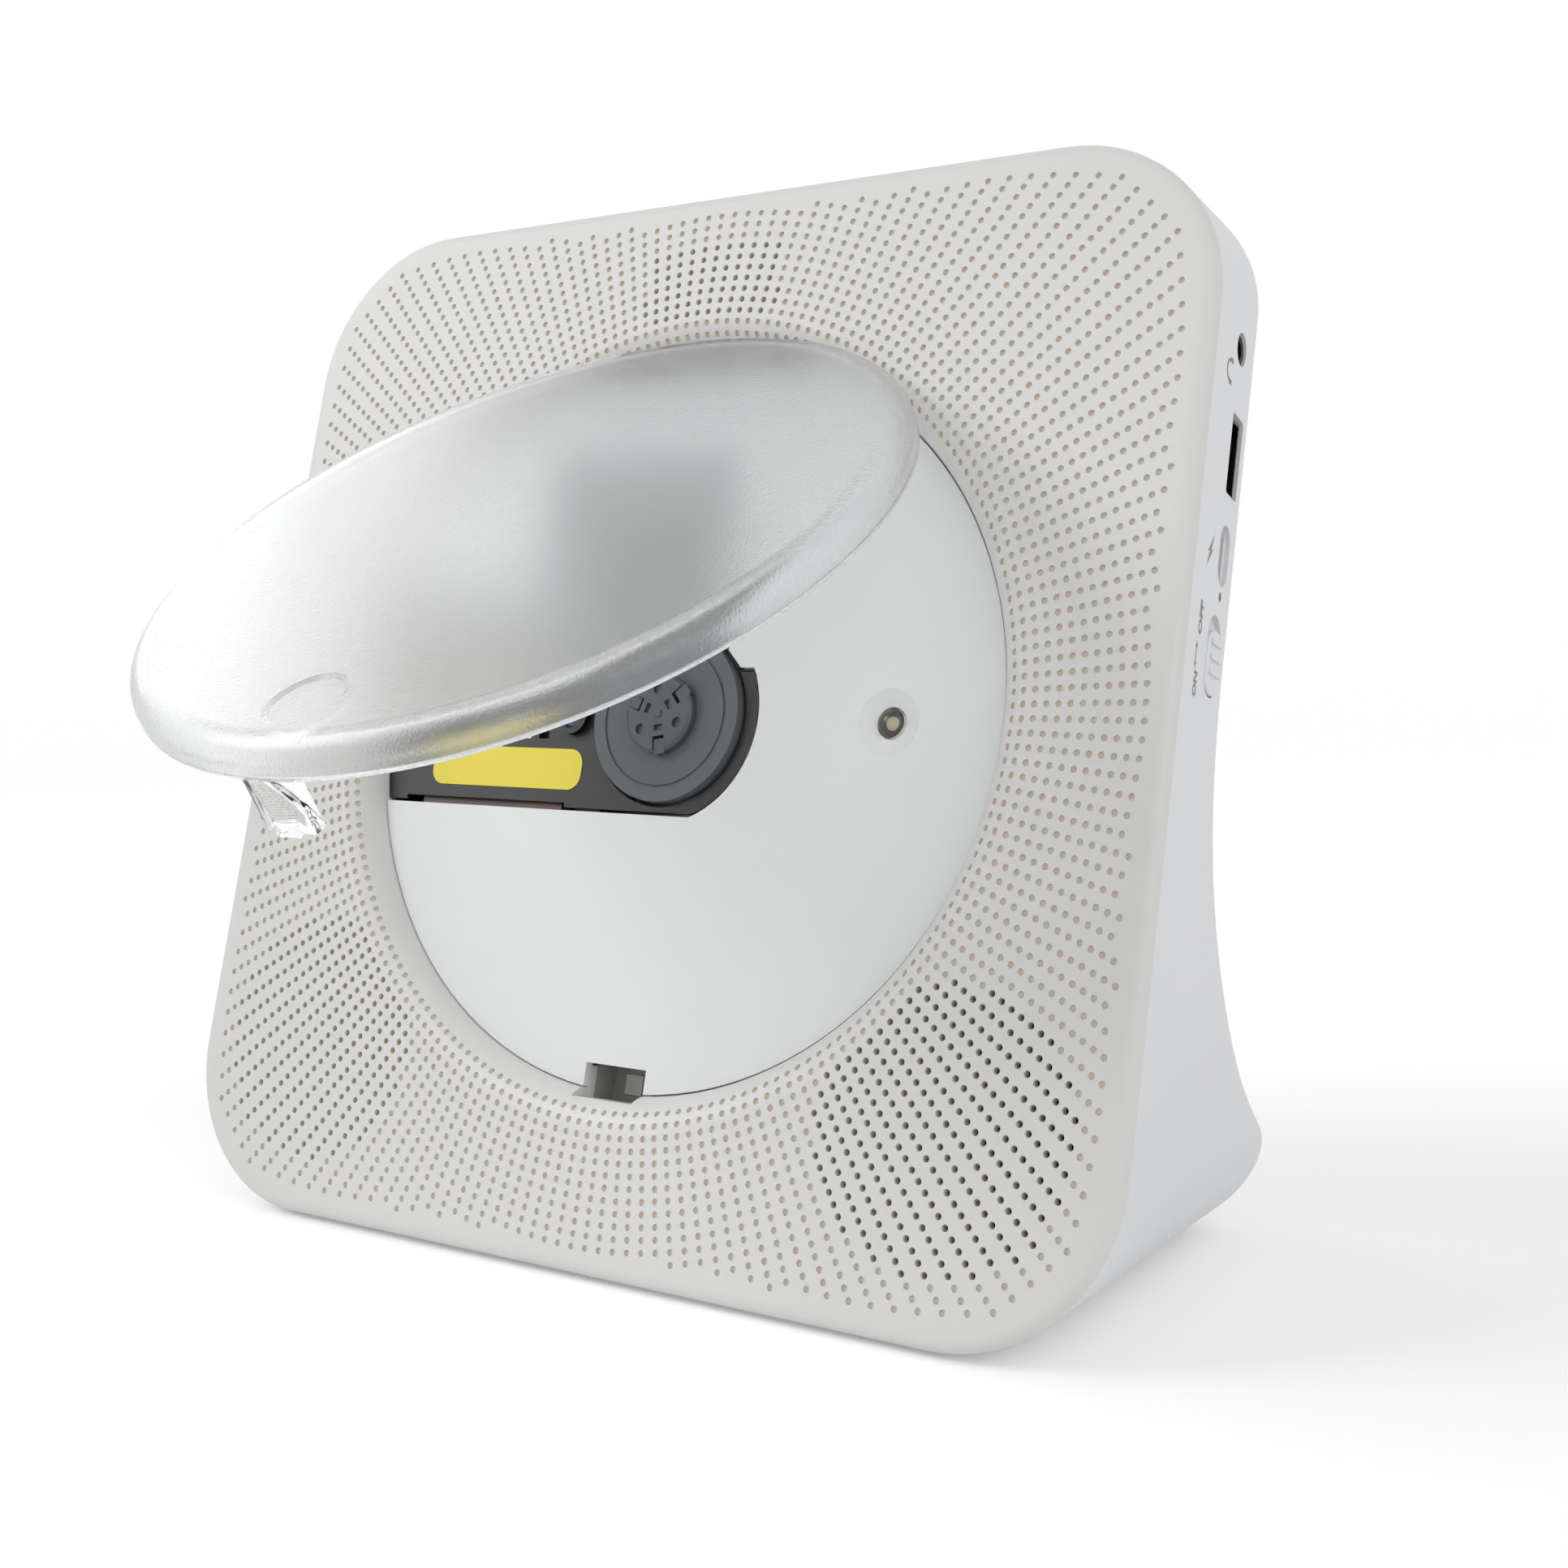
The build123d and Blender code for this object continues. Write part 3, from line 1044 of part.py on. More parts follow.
sled_rack.part.label = "sled_rack"
export_step(sled_rack.part, "parts/sled_rack.step")

gear_plane = Plane(origin=face_plane.from_local_coords((gear_x, gear_s, 0)), x_dir=(1, 0, 0),
                   z_dir=face_plane.z_dir)
gear_bore = gear_post_radius + shaft_clearance
with BuildPart() as sled_gear:
    with BuildSketch(gear_plane.offset(-drive_gear_depth)) as drive_teeth_sketch:
        gear_outline(drive_module, drive_teeth, motor_bearing)
    extrude(drive_teeth_sketch.sketch, amount=-drive_gear_width)
    rod(drive_gear_depth, pinion_depth + pinion_width, rack_module * rack_pinion_teeth / 2 - 1.2 * rack_module,
        [(gear_x, gear_s)])
    with BuildSketch(gear_plane.offset(-pinion_depth)) as rack_pinion_sketch:
        gear_outline(rack_module, rack_pinion_teeth, -90.0)
    extrude(rack_pinion_sketch.sketch, amount=-pinion_width)
    rod(drive_gear_depth - 1, pinion_depth + pinion_width + 1, gear_bore, [(gear_x, gear_s)],
        mode=Mode.SUBTRACT)
sled_gear.part.label = "sled_gear"
export_step(sled_gear.part, "parts/sled_gear.step")

motor_reach = drive_module * (drive_teeth + motor_teeth) / 2
motor_x = gear_x + motor_reach * cos(radians(motor_bearing))
motor_s = gear_s + motor_reach * sin(radians(motor_bearing))
motor_top = chassis_depth - motor_length
motor_shaft = 0.75
with BuildPart() as sled_motor:
    rod(motor_top, chassis_depth, motor_radius, [(motor_x, motor_s)])
    fillet(sled_motor.faces().sort_by(face_axis)[-1].edges(), 0.6)
    rod(motor_top - 1, chassis_depth - 1.5, motor_shaft + shaft_clearance, [(motor_x, motor_s)],
        mode=Mode.SUBTRACT)
sled_motor.part.label = "sled_motor"
export_step(sled_motor.part, "parts/sled_motor.step")

motor_plane = Plane(origin=face_plane.from_local_coords((motor_x, motor_s, 0)), x_dir=(1, 0, 0),
                    z_dir=face_plane.z_dir)
with BuildPart() as motor_pinion:
    with BuildSketch(motor_plane.offset(-drive_gear_depth)) as motor_teeth_sketch:
        gear_outline(drive_module, motor_teeth, motor_bearing + 180 + 180 / motor_teeth)
    extrude(motor_teeth_sketch.sketch, amount=-drive_gear_width - 0.2)
    rod(drive_gear_depth, chassis_depth - 2, motor_shaft, [(motor_x, motor_s)])
motor_pinion.part.label = "motor_pinion"
export_step(motor_pinion.part, "parts/motor_pinion.step")

# ---------------------------------------------------------------- circuit boards
with BuildPart() as main_board:
    block(board_depth, post_end, -60, 50, -25, 58, 1.0)
    rod(board_depth - 1, post_end + 1, 4.0, mount_places[2:], mode=Mode.SUBTRACT)
    rod(board_depth - 1, post_end + 1, screw_radius + screw_clearance, board_places, mode=Mode.SUBTRACT)
main_board.part.label = "main_board"
export_step(main_board.part, "parts/main_board.step")

with BuildPart() as board_components:
    for x, s, length, width, height in [(-20, 10, 14, 14, 1.4), (5, 20, 10, 10, 1.2), (-38, 30, 8, 6, 1.6),
                                        (20, 5, 6, 4, 1.6), (30, 30, 9, 9, 1.8), (-30, -8, 7, 7, 1.8)]:
        block(post_end, post_end + height, x - length / 2, x + length / 2, s - width / 2, s + width / 2)
board_components.part.label = "board_components"
export_step(board_components.part, "parts/board_components.step")

with BuildPart() as jack_board:
    block(board_depth, post_end, 55, 97, 8, 80, 1.0)
    rod(board_depth - 1, post_end + 1, screw_radius + screw_clearance, jack_board_places, mode=Mode.SUBTRACT)
jack_board.part.label = "jack_board"
export_step(jack_board.part, "parts/jack_board.step")

# ---------------------------------------------------------------- sockets and switch on the right side
usb_mouth_x = 100.2
with BuildPart() as usb_socket:
    cross_block(86, usb_mouth_x, 13.1, 5.7, usb_s, usb_depth, 0.5)
    cross_block(85, usb_mouth_x + 1, 12.4, 5.0, usb_s, usb_depth, 0.3, mode=Mode.SUBTRACT)
    for side in (-1, 1):
        cross_block(88, 92, 0.4, board_depth - usb_depth - 2.6, usb_s + side * 6.3,
                    (board_depth + usb_depth + 2.6) / 2)
usb_socket.part.label = "usb_socket"
export_step(usb_socket.part, "parts/usb_socket.step")

with BuildPart() as usb_insulator:
    cross_block(86.2, 88.4, 12.4, 5.0, usb_s, usb_depth, 0.3)
    cross_block(88.4, usb_mouth_x - 1.6, 10.6, 1.8, usb_s, usb_depth - 0.9)
usb_insulator.part.label = "usb_insulator"
export_step(usb_insulator.part, "parts/usb_insulator.step")

jack_face_x = 96.5
jack_mouth_x = 100.5
with BuildPart() as headphone_jack:
    block(jack_depth - 3.9, board_depth, jack_face_x - 13, jack_face_x, jack_s - 4.5, jack_s + 4.5)
    cross_rod(jack_face_x, jack_mouth_x, jack_mouth - 0.1, jack_s, jack_depth)
    cross_rod(jack_face_x - 11, jack_mouth_x + 1, plug_radius, jack_s, jack_depth, mode=Mode.SUBTRACT)
headphone_jack.part.label = "headphone_jack"
export_step(headphone_jack.part, "parts/headphone_jack.step")

charge_mouth_x = 99.6
with BuildPart() as charge_socket:
    cross_block(90, charge_mouth_x, 9.0, 3.3, charge_s, charge_depth, 1.6)
    cross_block(92, charge_mouth_x + 1, 8.4, 2.7, charge_s, charge_depth, 1.3, mode=Mode.SUBTRACT)
    cross_block(91.5, charge_mouth_x - 0.8, 6.6, 0.7, charge_s, charge_depth)
    block(charge_depth + 1.2, board_depth, 89, 97, charge_s - 4, charge_s + 4)
charge_socket.part.label = "charge_socket"
export_step(charge_socket.part, "parts/charge_socket.step")

with BuildPart() as charge_indicator:
    cross_rod(93, side_line(signal_depth), signal_radius, signal_s, signal_depth)
    block(signal_depth - 1.2, board_depth, 91, 93.5, signal_s - 1.5, signal_s + 1.5)
charge_indicator.part.label = "charge_indicator"
export_step(charge_indicator.part, "parts/charge_indicator.step")

switch_face_x = 96.5
stem_length, stem_width = 4.0, 3.0
with BuildPart() as power_switch:
    block(power_depth - 2.8, board_depth, 88, switch_face_x, power_s - 6, power_s + 6)
    cross_block(switch_face_x - 4, switch_face_x + 1, power_length / 2, stem_width + 0.8, power_s, power_depth,
                mode=Mode.SUBTRACT)
power_switch.part.label = "power_switch"
export_step(power_switch.part, "parts/power_switch.step")

knob_s = power_s - power_travel / 2
knob_foot_x = recess_side(power_depth, recess_depth) + 0.25
knob_face_x = side_line(power_depth) + 0.5
rib_pitch = 2.55
with BuildPart() as power_knob:
    cross_block(knob_foot_x, knob_face_x, power_length - power_travel - 2 * knob_gap, power_width - 2 * knob_gap,
                knob_s, power_depth, power_width / 2 - knob_gap - 0.01)
    fillet(power_knob.faces().sort_by(Axis.X)[-1].edges(), 0.4)
    for count in (-1, 0, 1):
        cross_block(knob_foot_x, side_line(power_depth) + knob_stand, 0.9, power_width - 2 * knob_gap - 2,
                    knob_s + 0.75 + count * rib_pitch, power_depth, 0.4)
    cross_block(switch_face_x - 3.5, knob_foot_x, stem_length, stem_width, knob_s, power_depth)
power_knob.part.label = "power_knob"
export_step(power_knob.part, "parts/power_knob.step")

# ---------------------------------------------------------------- keys on the top
flange_top = half - wall - 1.0
flange_height = 0.8
switch_seat = 94.0
stem_end = flange_top - flange_height - 1.0
switch_top = stem_end - key_travel - 0.15
key_places = [(count - 2) * key_pitch for count in range(len(key_names))]
for key_x, key_name in zip(key_places, key_names):
    with BuildPart() as key:
        with BuildSketch(at_height(flange_top)) as key_cap:
            with Locations((key_x, key_depth)):
                RectangleRounded(key_length, key_width, 1.0)
        extrude(key_cap.sketch, amount=half + key_stand - flange_top)
        fillet(key.faces().sort_by(Axis(face_origin, top_plane.z_dir))[-1].edges(), 0.3)
        with BuildSketch(at_height(flange_top - flange_height)) as key_flange:
            with Locations((key_x, key_depth)):
                RectangleRounded(key_length + 2, key_width + 2.5, 1.0)
        extrude(key_flange.sketch, amount=flange_height)
        with BuildSketch(at_height(stem_end)) as key_stem:
            with Locations((key_x, key_depth)):
                Circle(1.2)
        extrude(key_stem.sketch, amount=flange_top - stem_end - flange_height)
    key.part.label = key_name
    export_step(key.part, f"parts/{key_name}.step")

with BuildPart() as key_board:
    with BuildSketch(at_height(switch_seat - 1.2)) as key_board_outline:
        with Locations((0, (wall + 20) / 2)):
            Rectangle(84, 20 - wall)
    extrude(key_board_outline.sketch, amount=1.2)
key_board.part.label = "key_board"
export_step(key_board.part, "parts/key_board.step")

with BuildPart() as key_switches:
    with BuildSketch(at_height(switch_seat)) as switch_bodies:
        with Locations(*[(x, key_depth) for x in key_places]):
            Rectangle(6, 6)
    extrude(switch_bodies.sketch, amount=switch_top - 0.4 - switch_seat)
    with BuildSketch(at_height(switch_seat)) as switch_plungers:
        with Locations(*[(x, key_depth) for x in key_places]):
            Circle(1.6)
    extrude(switch_plungers.sketch, amount=switch_top - switch_seat)
key_switches.part.label = "key_switches"
export_step(key_switches.part, "parts/key_switches.step")

# ---------------------------------------------------------------- speakers
frame_back = speaker_front + 1.2
speaker_centres = [(-speaker_x, speaker_s), (speaker_x, speaker_s)]
with BuildPart() as speaker_frames:
    rod(speaker_front, frame_back, speaker_radius, speaker_centres)
    rod(speaker_front, frame_back, boss_radius, speaker_places)
    rod(speaker_front - 1, frame_back + 1, speaker_radius - 3, speaker_centres, mode=Mode.SUBTRACT)
    rod(speaker_front - 1, frame_back + 1, screw_radius + screw_clearance, speaker_places, mode=Mode.SUBTRACT)
    for x, s in speaker_centres:
        turned([(19.0, frame_back - 0.4), (20.6, frame_back - 0.4), (12.6, 13.0), (12.6, 14.2), (9.0, 14.2),
                (9.0, 13.0), (11.2, 13.0)], x, s)
speaker_frames.part.label = "speaker_frames"
export_step(speaker_frames.part, "parts/speaker_frames.step")

with BuildPart() as speaker_cones:
    for x, s in speaker_centres:
        turned([(19.0, 3.5), (19.0, 3.9), (18.0, 4.0), (6.6, 9.7), (6.6, 13.6), (6.2, 13.6), (6.2, 9.2),
                (17.6, 3.5)], x, s)
        turned([(0, 8.2), (3.4, 8.5), (6.2, 9.3), (6.2, 9.8), (3.3, 9.0), (0, 8.7)], x, s)
speaker_cones.part.label = "speaker_cones"
export_step(speaker_cones.part, "parts/speaker_cones.step")

with BuildPart() as speaker_magnets:
    rod(14.2, 20.5, 11.0, speaker_centres)
    chamfer(speaker_magnets.faces().sort_by(face_axis)[:2].edges(), 0.6)
speaker_magnets.part.label = "speaker_magnets"
export_step(speaker_magnets.part, "parts/speaker_magnets.step")

# ---------------------------------------------------------------- display and receiver
display_middle = (display_low + display_high) / 2
display_screw_places = [(side * display_screw_x, display_middle) for side in (-1, 1)]
display_back = display_seat + 1.2
with BuildPart() as display_module:
    block(wall + part_gap, display_seat, -15, 8.5, 78, 90.5)
    block(display_seat, display_back, -22, 22, 78, 90.5, 0.8)
    rod(display_seat - 1, display_back + 1, screw_radius + screw_clearance, display_screw_places,
        mode=Mode.SUBTRACT)
display_module.part.label = "display_module"
export_step(display_module.part, "parts/display_module.step")

with BuildPart() as infrared_receiver:
    block(4.5, display_seat, 10, 15, 81, 87)
    rod(3.0, 4.5, 1.9, [(12.5, 84)])
    fillet(infrared_receiver.faces().sort_by(face_axis)[-1].edges(), 1.2)
infrared_receiver.part.label = "infrared_receiver"
export_step(infrared_receiver.part, "parts/infrared_receiver.step")

# ---------------------------------------------------------------- battery
cradle_gap = 0.2
cradle_half = battery_length / 2 + cradle_gap + wall
with BuildPart() as battery_cradle:
    block(battery_front - cradle_gap - wall, battery_back + cradle_gap + wall, -cradle_half, cradle_half,
          cradle_seat, cradle_seat + 5 * wall)
    block(battery_front - cradle_gap, battery_back + cradle_gap, -cradle_half + wall, cradle_half - wall,
          cradle_seat + wall, cradle_seat + 6 * wall, mode=Mode.SUBTRACT)
battery_cradle.part.label = "battery_cradle"
export_step(battery_cradle.part, "parts/battery_cradle.step")

with BuildPart() as battery_pack:
    for count in (-0.5, 0.5):
        cell_depth = battery_depth + count * battery_width / 2
        cross_block(-battery_length / 2, battery_length / 2, battery_height, battery_width / 2 + 0.01, battery_s,
                    cell_depth, battery_width / 4 - 0.1)
battery_pack.part.label = "battery_pack"
export_step(battery_pack.part, "parts/battery_pack.step")

# ---------------------------------------------------------------- fixings and feet
with BuildPart() as case_screws:
    screws(case_seat, 12, case_places)
    screws(low_case_seat, 12, low_case_places)
case_screws.part.label = "case_screws"
export_step(case_screws.part, "parts/case_screws.step")

with BuildPart() as deck_screws:
    screws(flange_depth + deck_wall, 6.4, deck_ears)
deck_screws.part.label = "deck_screws"
export_step(deck_screws.part, "parts/deck_screws.step")

with BuildPart() as inner_screws:
    screws(mount_seat + grommet_height, 12, mount_places)
    screws(board_depth, 3.8, board_places + jack_board_places, head_towards_back=False)
    screws(frame_back, 2.3, speaker_places)
    screws(bracket_top + bracket_wall, 3.5, bracket_places)
    screws(latch_depth_seat + wall, 4.5, latch_posts)
    screws(display_back, 5.0, display_screw_places)
inner_screws.part.label = "inner_screws"
export_step(inner_screws.part, "parts/inner_screws.step")

with BuildPart() as rubber_feet:
    with BuildSketch(Plane.XY) as pads:
        with Locations(*pad_places):
            Circle(pad_radius)
    extrude(pads.sketch, amount=pad_stand + pad_sunk)
    chamfer(rubber_feet.faces().sort_by(Axis.Z)[:len(pad_places)].edges(), 0.4)
rubber_feet.part.label = "rubber_feet"
export_step(rubber_feet.part, "parts/rubber_feet.step")
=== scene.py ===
# %% [markdown]
# # A compact disc player and its finishes
# The player is a square moulded case that leans back on its own foot. Its round lid stands open, so
# the disc well, the turntable and the laser slot show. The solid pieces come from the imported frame
# and stay where they are. Blender adds the perforated front, the printed marks and the finishes.
# %% Tools and the frame
import math

import bmesh
import bpy
from mathutils import Matrix, Vector
from mathutils.geometry import delaunay_2d_cdt


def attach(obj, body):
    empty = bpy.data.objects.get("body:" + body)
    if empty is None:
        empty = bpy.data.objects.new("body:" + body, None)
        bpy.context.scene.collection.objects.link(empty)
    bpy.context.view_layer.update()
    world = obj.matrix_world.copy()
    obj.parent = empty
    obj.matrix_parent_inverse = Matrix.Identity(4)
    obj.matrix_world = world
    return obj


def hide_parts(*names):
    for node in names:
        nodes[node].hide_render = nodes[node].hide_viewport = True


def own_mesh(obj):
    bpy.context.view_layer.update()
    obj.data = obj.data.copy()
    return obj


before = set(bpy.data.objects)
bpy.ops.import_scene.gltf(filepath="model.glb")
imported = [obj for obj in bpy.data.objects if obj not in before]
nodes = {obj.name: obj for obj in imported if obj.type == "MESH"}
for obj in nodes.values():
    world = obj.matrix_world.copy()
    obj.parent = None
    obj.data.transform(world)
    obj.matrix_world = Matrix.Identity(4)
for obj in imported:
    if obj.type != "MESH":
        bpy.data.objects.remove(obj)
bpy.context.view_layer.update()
MM = 0.001

# %% [markdown]
# The face leans back, so a piece is easiest to model lying flat, with x to the right, y up along the
# face and z out of it, and to be leaned as a whole. One matrix does that. Its middle is found on the
# frame: the vertices that reach furthest along the outward direction, level within a few hundredths
# of a millimetre, are the flat face's own.
# %% The leaning face as a matrix
LEAN = math.radians(14.2)
OUTWARD = Vector((0, -math.cos(LEAN), math.sin(LEAN)))
UPWARD = Vector((0, math.sin(LEAN), math.cos(LEAN)))


def plane_matrix(origin, upward, outward):
    """Turns a flat model's x, y and z into right, upward and outward at the origin."""
    turn = Matrix((Vector((1, 0, 0)), upward, outward)).transposed().to_4x4()
    return Matrix.Translation(origin) @ turn


LEVEL = 0.02
cover_points = [v.co.copy() for v in nodes["front_cover"].data.vertices]
reach = max(point.dot(OUTWARD) for point in cover_points)
on_face = [point for point in cover_points if reach - point.dot(OUTWARD) < LEVEL * MM]
heights = [point.dot(UPWARD) for point in on_face]
face_middle = OUTWARD * reach + UPWARD * (max(heights) + min(heights)) / 2
FACE = plane_matrix(face_middle, UPWARD, OUTWARD)
print("middle of the face at", [round(v / MM, 2) for v in face_middle])


# %% [markdown]
# Every new piece goes through the same last steps: its object sits at the origin, its place is in its
# mesh and it rides on a body of the frame. Cutting one shape out of another, and making an object of
# mesh, light or camera data, come up several times.
# %% Helpers that finish a piece
def only(*objects):
    """Selects just these objects and makes the first one active."""
    if bpy.context.object and bpy.context.object.mode != "OBJECT":
        bpy.ops.object.mode_set(mode="OBJECT")
    bpy.ops.object.select_all(action="DESELECT")
    for item in objects:
        item.select_set(True)
    bpy.context.view_layer.objects.active = objects[0]


def finished(piece, name, place, body, slot, *materials):
    """Names a piece, puts its place in its mesh and hands it to its body and materials; slot is not used."""
    only(piece)
    bpy.ops.object.transform_apply(location=True, rotation=True, scale=True)
    piece.name = name
    piece.data.transform(place)
    piece.data.update()
    for material in materials:
        piece.data.materials.append(material)
    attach(piece, body)
    return piece


def linked(name, data):
    """A new object of the data, linked to the scene."""
    made = bpy.data.objects.new(name, data)
    bpy.context.scene.collection.objects.link(made)
    return made


def mesh_piece(name, points, faces):
    """A mesh object from points in millimetres and faces."""
    mesh = bpy.data.meshes.new(name)
    mesh.from_pydata([Vector(point) * MM for point in points], [], faces)
    mesh.update()
    return linked(name, mesh)


def built_piece(name, built):
    """A mesh object from a bmesh, with its faces turned outwards."""
    bmesh.ops.recalc_face_normals(built, faces=built.faces)
    mesh = bpy.data.meshes.new(name)
    built.to_mesh(mesh)
    built.free()
    return linked(name, mesh)


def cut_out(piece, cutter):
    """Cuts one object out of another and deletes the cutter."""
    cut = piece.modifiers.new("cut", "BOOLEAN")
    cut.object = cutter
    cut.solver = "EXACT"
    only(piece)
    bpy.ops.object.modifier_apply(modifier="cut")
    bpy.data.objects.remove(cutter)


def smooth(piece, degrees=35):
    """Smooth shading that keeps edges sharper than the angle."""
    only(piece)
    bpy.ops.object.shade_smooth_by_angle(angle=math.radians(degrees))


# %% [markdown]
# Colours are written as sRGB hex values, as a painter would note them, and turned to linear once.
# One small function adds a node, sets it up and links what feeds it.
# %% Helpers for materials
def linear(code, alpha=1.0):
    """An sRGB hex colour as linear values."""
    parts = [int(code[place:place + 2], 16) / 255 for place in (1, 3, 5)]
    return (*[v / 12.92 if v <= 0.04045 else ((v + 0.055) / 1.055) ** 2.4 for v in parts], alpha)


def add(tree, kind, inputs=None, **settings):
    """Adds a node with its settings; an input is a value or the socket that feeds it."""
    made = tree.nodes.new(kind)
    for name, value in settings.items():
        setattr(made, name, value)
    for name, value in (inputs or {}).items():
        if isinstance(value, bpy.types.NodeSocket):
            tree.links.new(value, made.inputs[name])
        else:
            made.inputs[name].default_value = value
    return made


def new_material(name):
    """An empty material's node tree and its object coordinates."""
    material = bpy.data.materials.new(name)
    material.use_nodes = True
    material.node_tree.nodes.clear()
    place = add(material.node_tree, "ShaderNodeTexCoord").outputs["Object"]
    return material, material.node_tree, place


def surface(material, tree, shader):
    """Joins a shader to the material's output."""
    add(tree, "ShaderNodeOutputMaterial", {"Surface": shader})
    return material


# %% [markdown]
# ABS is the usual plastic for such a case. It is moulded against a spark-eroded steel surface, which
# leaves a fine even grain of a few tenths of a millimetre: it breaks the highlights and takes most of
# the gloss away. A slow, very weak change of tone stands for handling and flow of the melt.
# %% Moulded ABS and other moulded plastics
def moulded(name, colour, darker, roughness, grain_mm, depth_mm, coat=0.0):
    """Moulded plastic with an eroded grain of a real size."""
    material, tree, place = new_material(name)
    cloud = add(tree, "ShaderNodeTexNoise", {"Vector": place, "Scale": 1 / (35 * MM), "Detail": 2.0})
    tone = add(tree, "ShaderNodeMix", {0: cloud.outputs["Fac"], 6: linear(colour), 7: linear(darker)},
               data_type="RGBA")
    grain = add(tree, "ShaderNodeTexNoise", {"Vector": place, "Scale": 1 / (grain_mm * MM), "Detail": 3.0})
    bump = add(tree, "ShaderNodeBump", {"Height": grain.outputs["Fac"], "Distance": depth_mm * MM,
                                        "Strength": 0.35})
    gloss = add(tree, "ShaderNodeMapRange", {"Value": grain.outputs["Fac"], "To Min": roughness - 0.05,
                                             "To Max": roughness + 0.06})
    shader = add(tree, "ShaderNodeBsdfPrincipled", {"Base Color": tone.outputs[2],
                                                    "Roughness": gloss.outputs["Result"],
                                                    "Normal": bump.outputs["Normal"], "IOR": 1.52,
                                                    "Coat Weight": coat})
    return surface(material, tree, shader.outputs[0])


case_abs = moulded("light_grey_moulded_abs", "#D6D6D4", "#D1D1CF", 0.46, 0.35, 0.02)
back_abs = moulded("white_moulded_abs_housing", "#DFE0E2", "#DADBDD", 0.46, 0.35, 0.02)
# The pores are the face's own ABS. Their walls and floors get a warm beige that is paler than the face: a
# painted shade tint for the colour the pores take in their shade.
pore_shade_tint_abs = moulded("abs_painted_shade_tint_in_pores", "#E2DACF", "#D8D0C5", 0.6, 0.35, 0.02)
deck_abs = moulded("white_moulded_abs_deck", "#DEDFDF", "#D9DADA", 0.42, 0.30, 0.015)
black_abs = moulded("black_moulded_abs", "#0E0E0F", "#161617", 0.45, 0.30, 0.03)
hub_abs = moulded("charcoal_moulded_abs_hub", "#3E4346", "#4B5053", 0.42, 0.30, 0.03)
grey_abs = moulded("mid_grey_moulded_abs", "#A9A9A4", "#9F9F9A", 0.45, 0.30, 0.02)
white_pom = moulded("white_acetal", "#E6E5DE", "#DEDDD6", 0.35, 0.5, 0.01)
mat_rubber = moulded("speckled_grey_rubber_mat", "#454B4E", "#6B7174", 0.6, 0.45, 0.08)
print("moulded plastics ready")

# %% [markdown]
# The small metal pieces are zinc plated steel, brass and polished steel. Plating leaves a faintly
# cloudy surface, so the roughness wanders a little.
# %% Metals
def metal(name, colour, rough_low, rough_high, spot_mm):
    """A plated or polished metal whose roughness wanders over spots of a real size."""
    material, tree, place = new_material(name)
    spots = add(tree, "ShaderNodeTexNoise", {"Vector": place, "Scale": 1 / (spot_mm * MM), "Detail": 4.0})
    rough = add(tree, "ShaderNodeMapRange", {"Value": spots.outputs["Fac"], "To Min": rough_low,
                                             "To Max": rough_high})
    bump = add(tree, "ShaderNodeBump", {"Height": spots.outputs["Fac"], "Distance": 0.01 * MM,
                                        "Strength": 0.3})
    shader = add(tree, "ShaderNodeBsdfPrincipled", {"Base Color": linear(colour), "Metallic": 1.0,
                                                    "Roughness": rough.outputs["Result"],
                                                    "Normal": bump.outputs["Normal"]})
    return surface(material, tree, shader.outputs[0])


zinc_steel = metal("zinc_plated_steel", "#B9BABB", 0.25, 0.45, 2.0)
black_nickel = metal("black_nickel_plated_steel", "#4A4A4B", 0.2, 0.35, 1.0)
bright_steel = metal("polished_steel", "#D5D6D8", 0.08, 0.18, 3.0)
brass = metal("turned_brass", "#C9A35A", 0.2, 0.35, 1.5)
print("metals ready")

# %% [markdown]
# The lid is clear polycarbonate whose faces are moulded against an etched steel face. Light goes
# through, but the etched skin scatters it, so what lies close behind shows and what lies far behind
# blurs. A rough refraction gives that; a share of white scattering stands for the haze in the skin. The
# hook and the hinge ears under the lid's rim are left clear and glossy. The real etched grain is finer
# than a tenth of a millimetre, and is drawn at half a millimetre so that it shows.
# %% Etched polycarbonate
LID_OPEN = math.radians(43.2)
LID_TURN = LEAN + LID_OPEN
LID_INWARD = Vector((0, math.cos(LID_TURN), -math.sin(LID_TURN)))
LID_MIDDLE = Vector((0, -25.981, 134.725)) * MM
RIM_BELOW, RIM_BLEND = 5.3, 0.1
LID_RIM = LID_INWARD.dot(LID_MIDDLE) + RIM_BELOW * MM


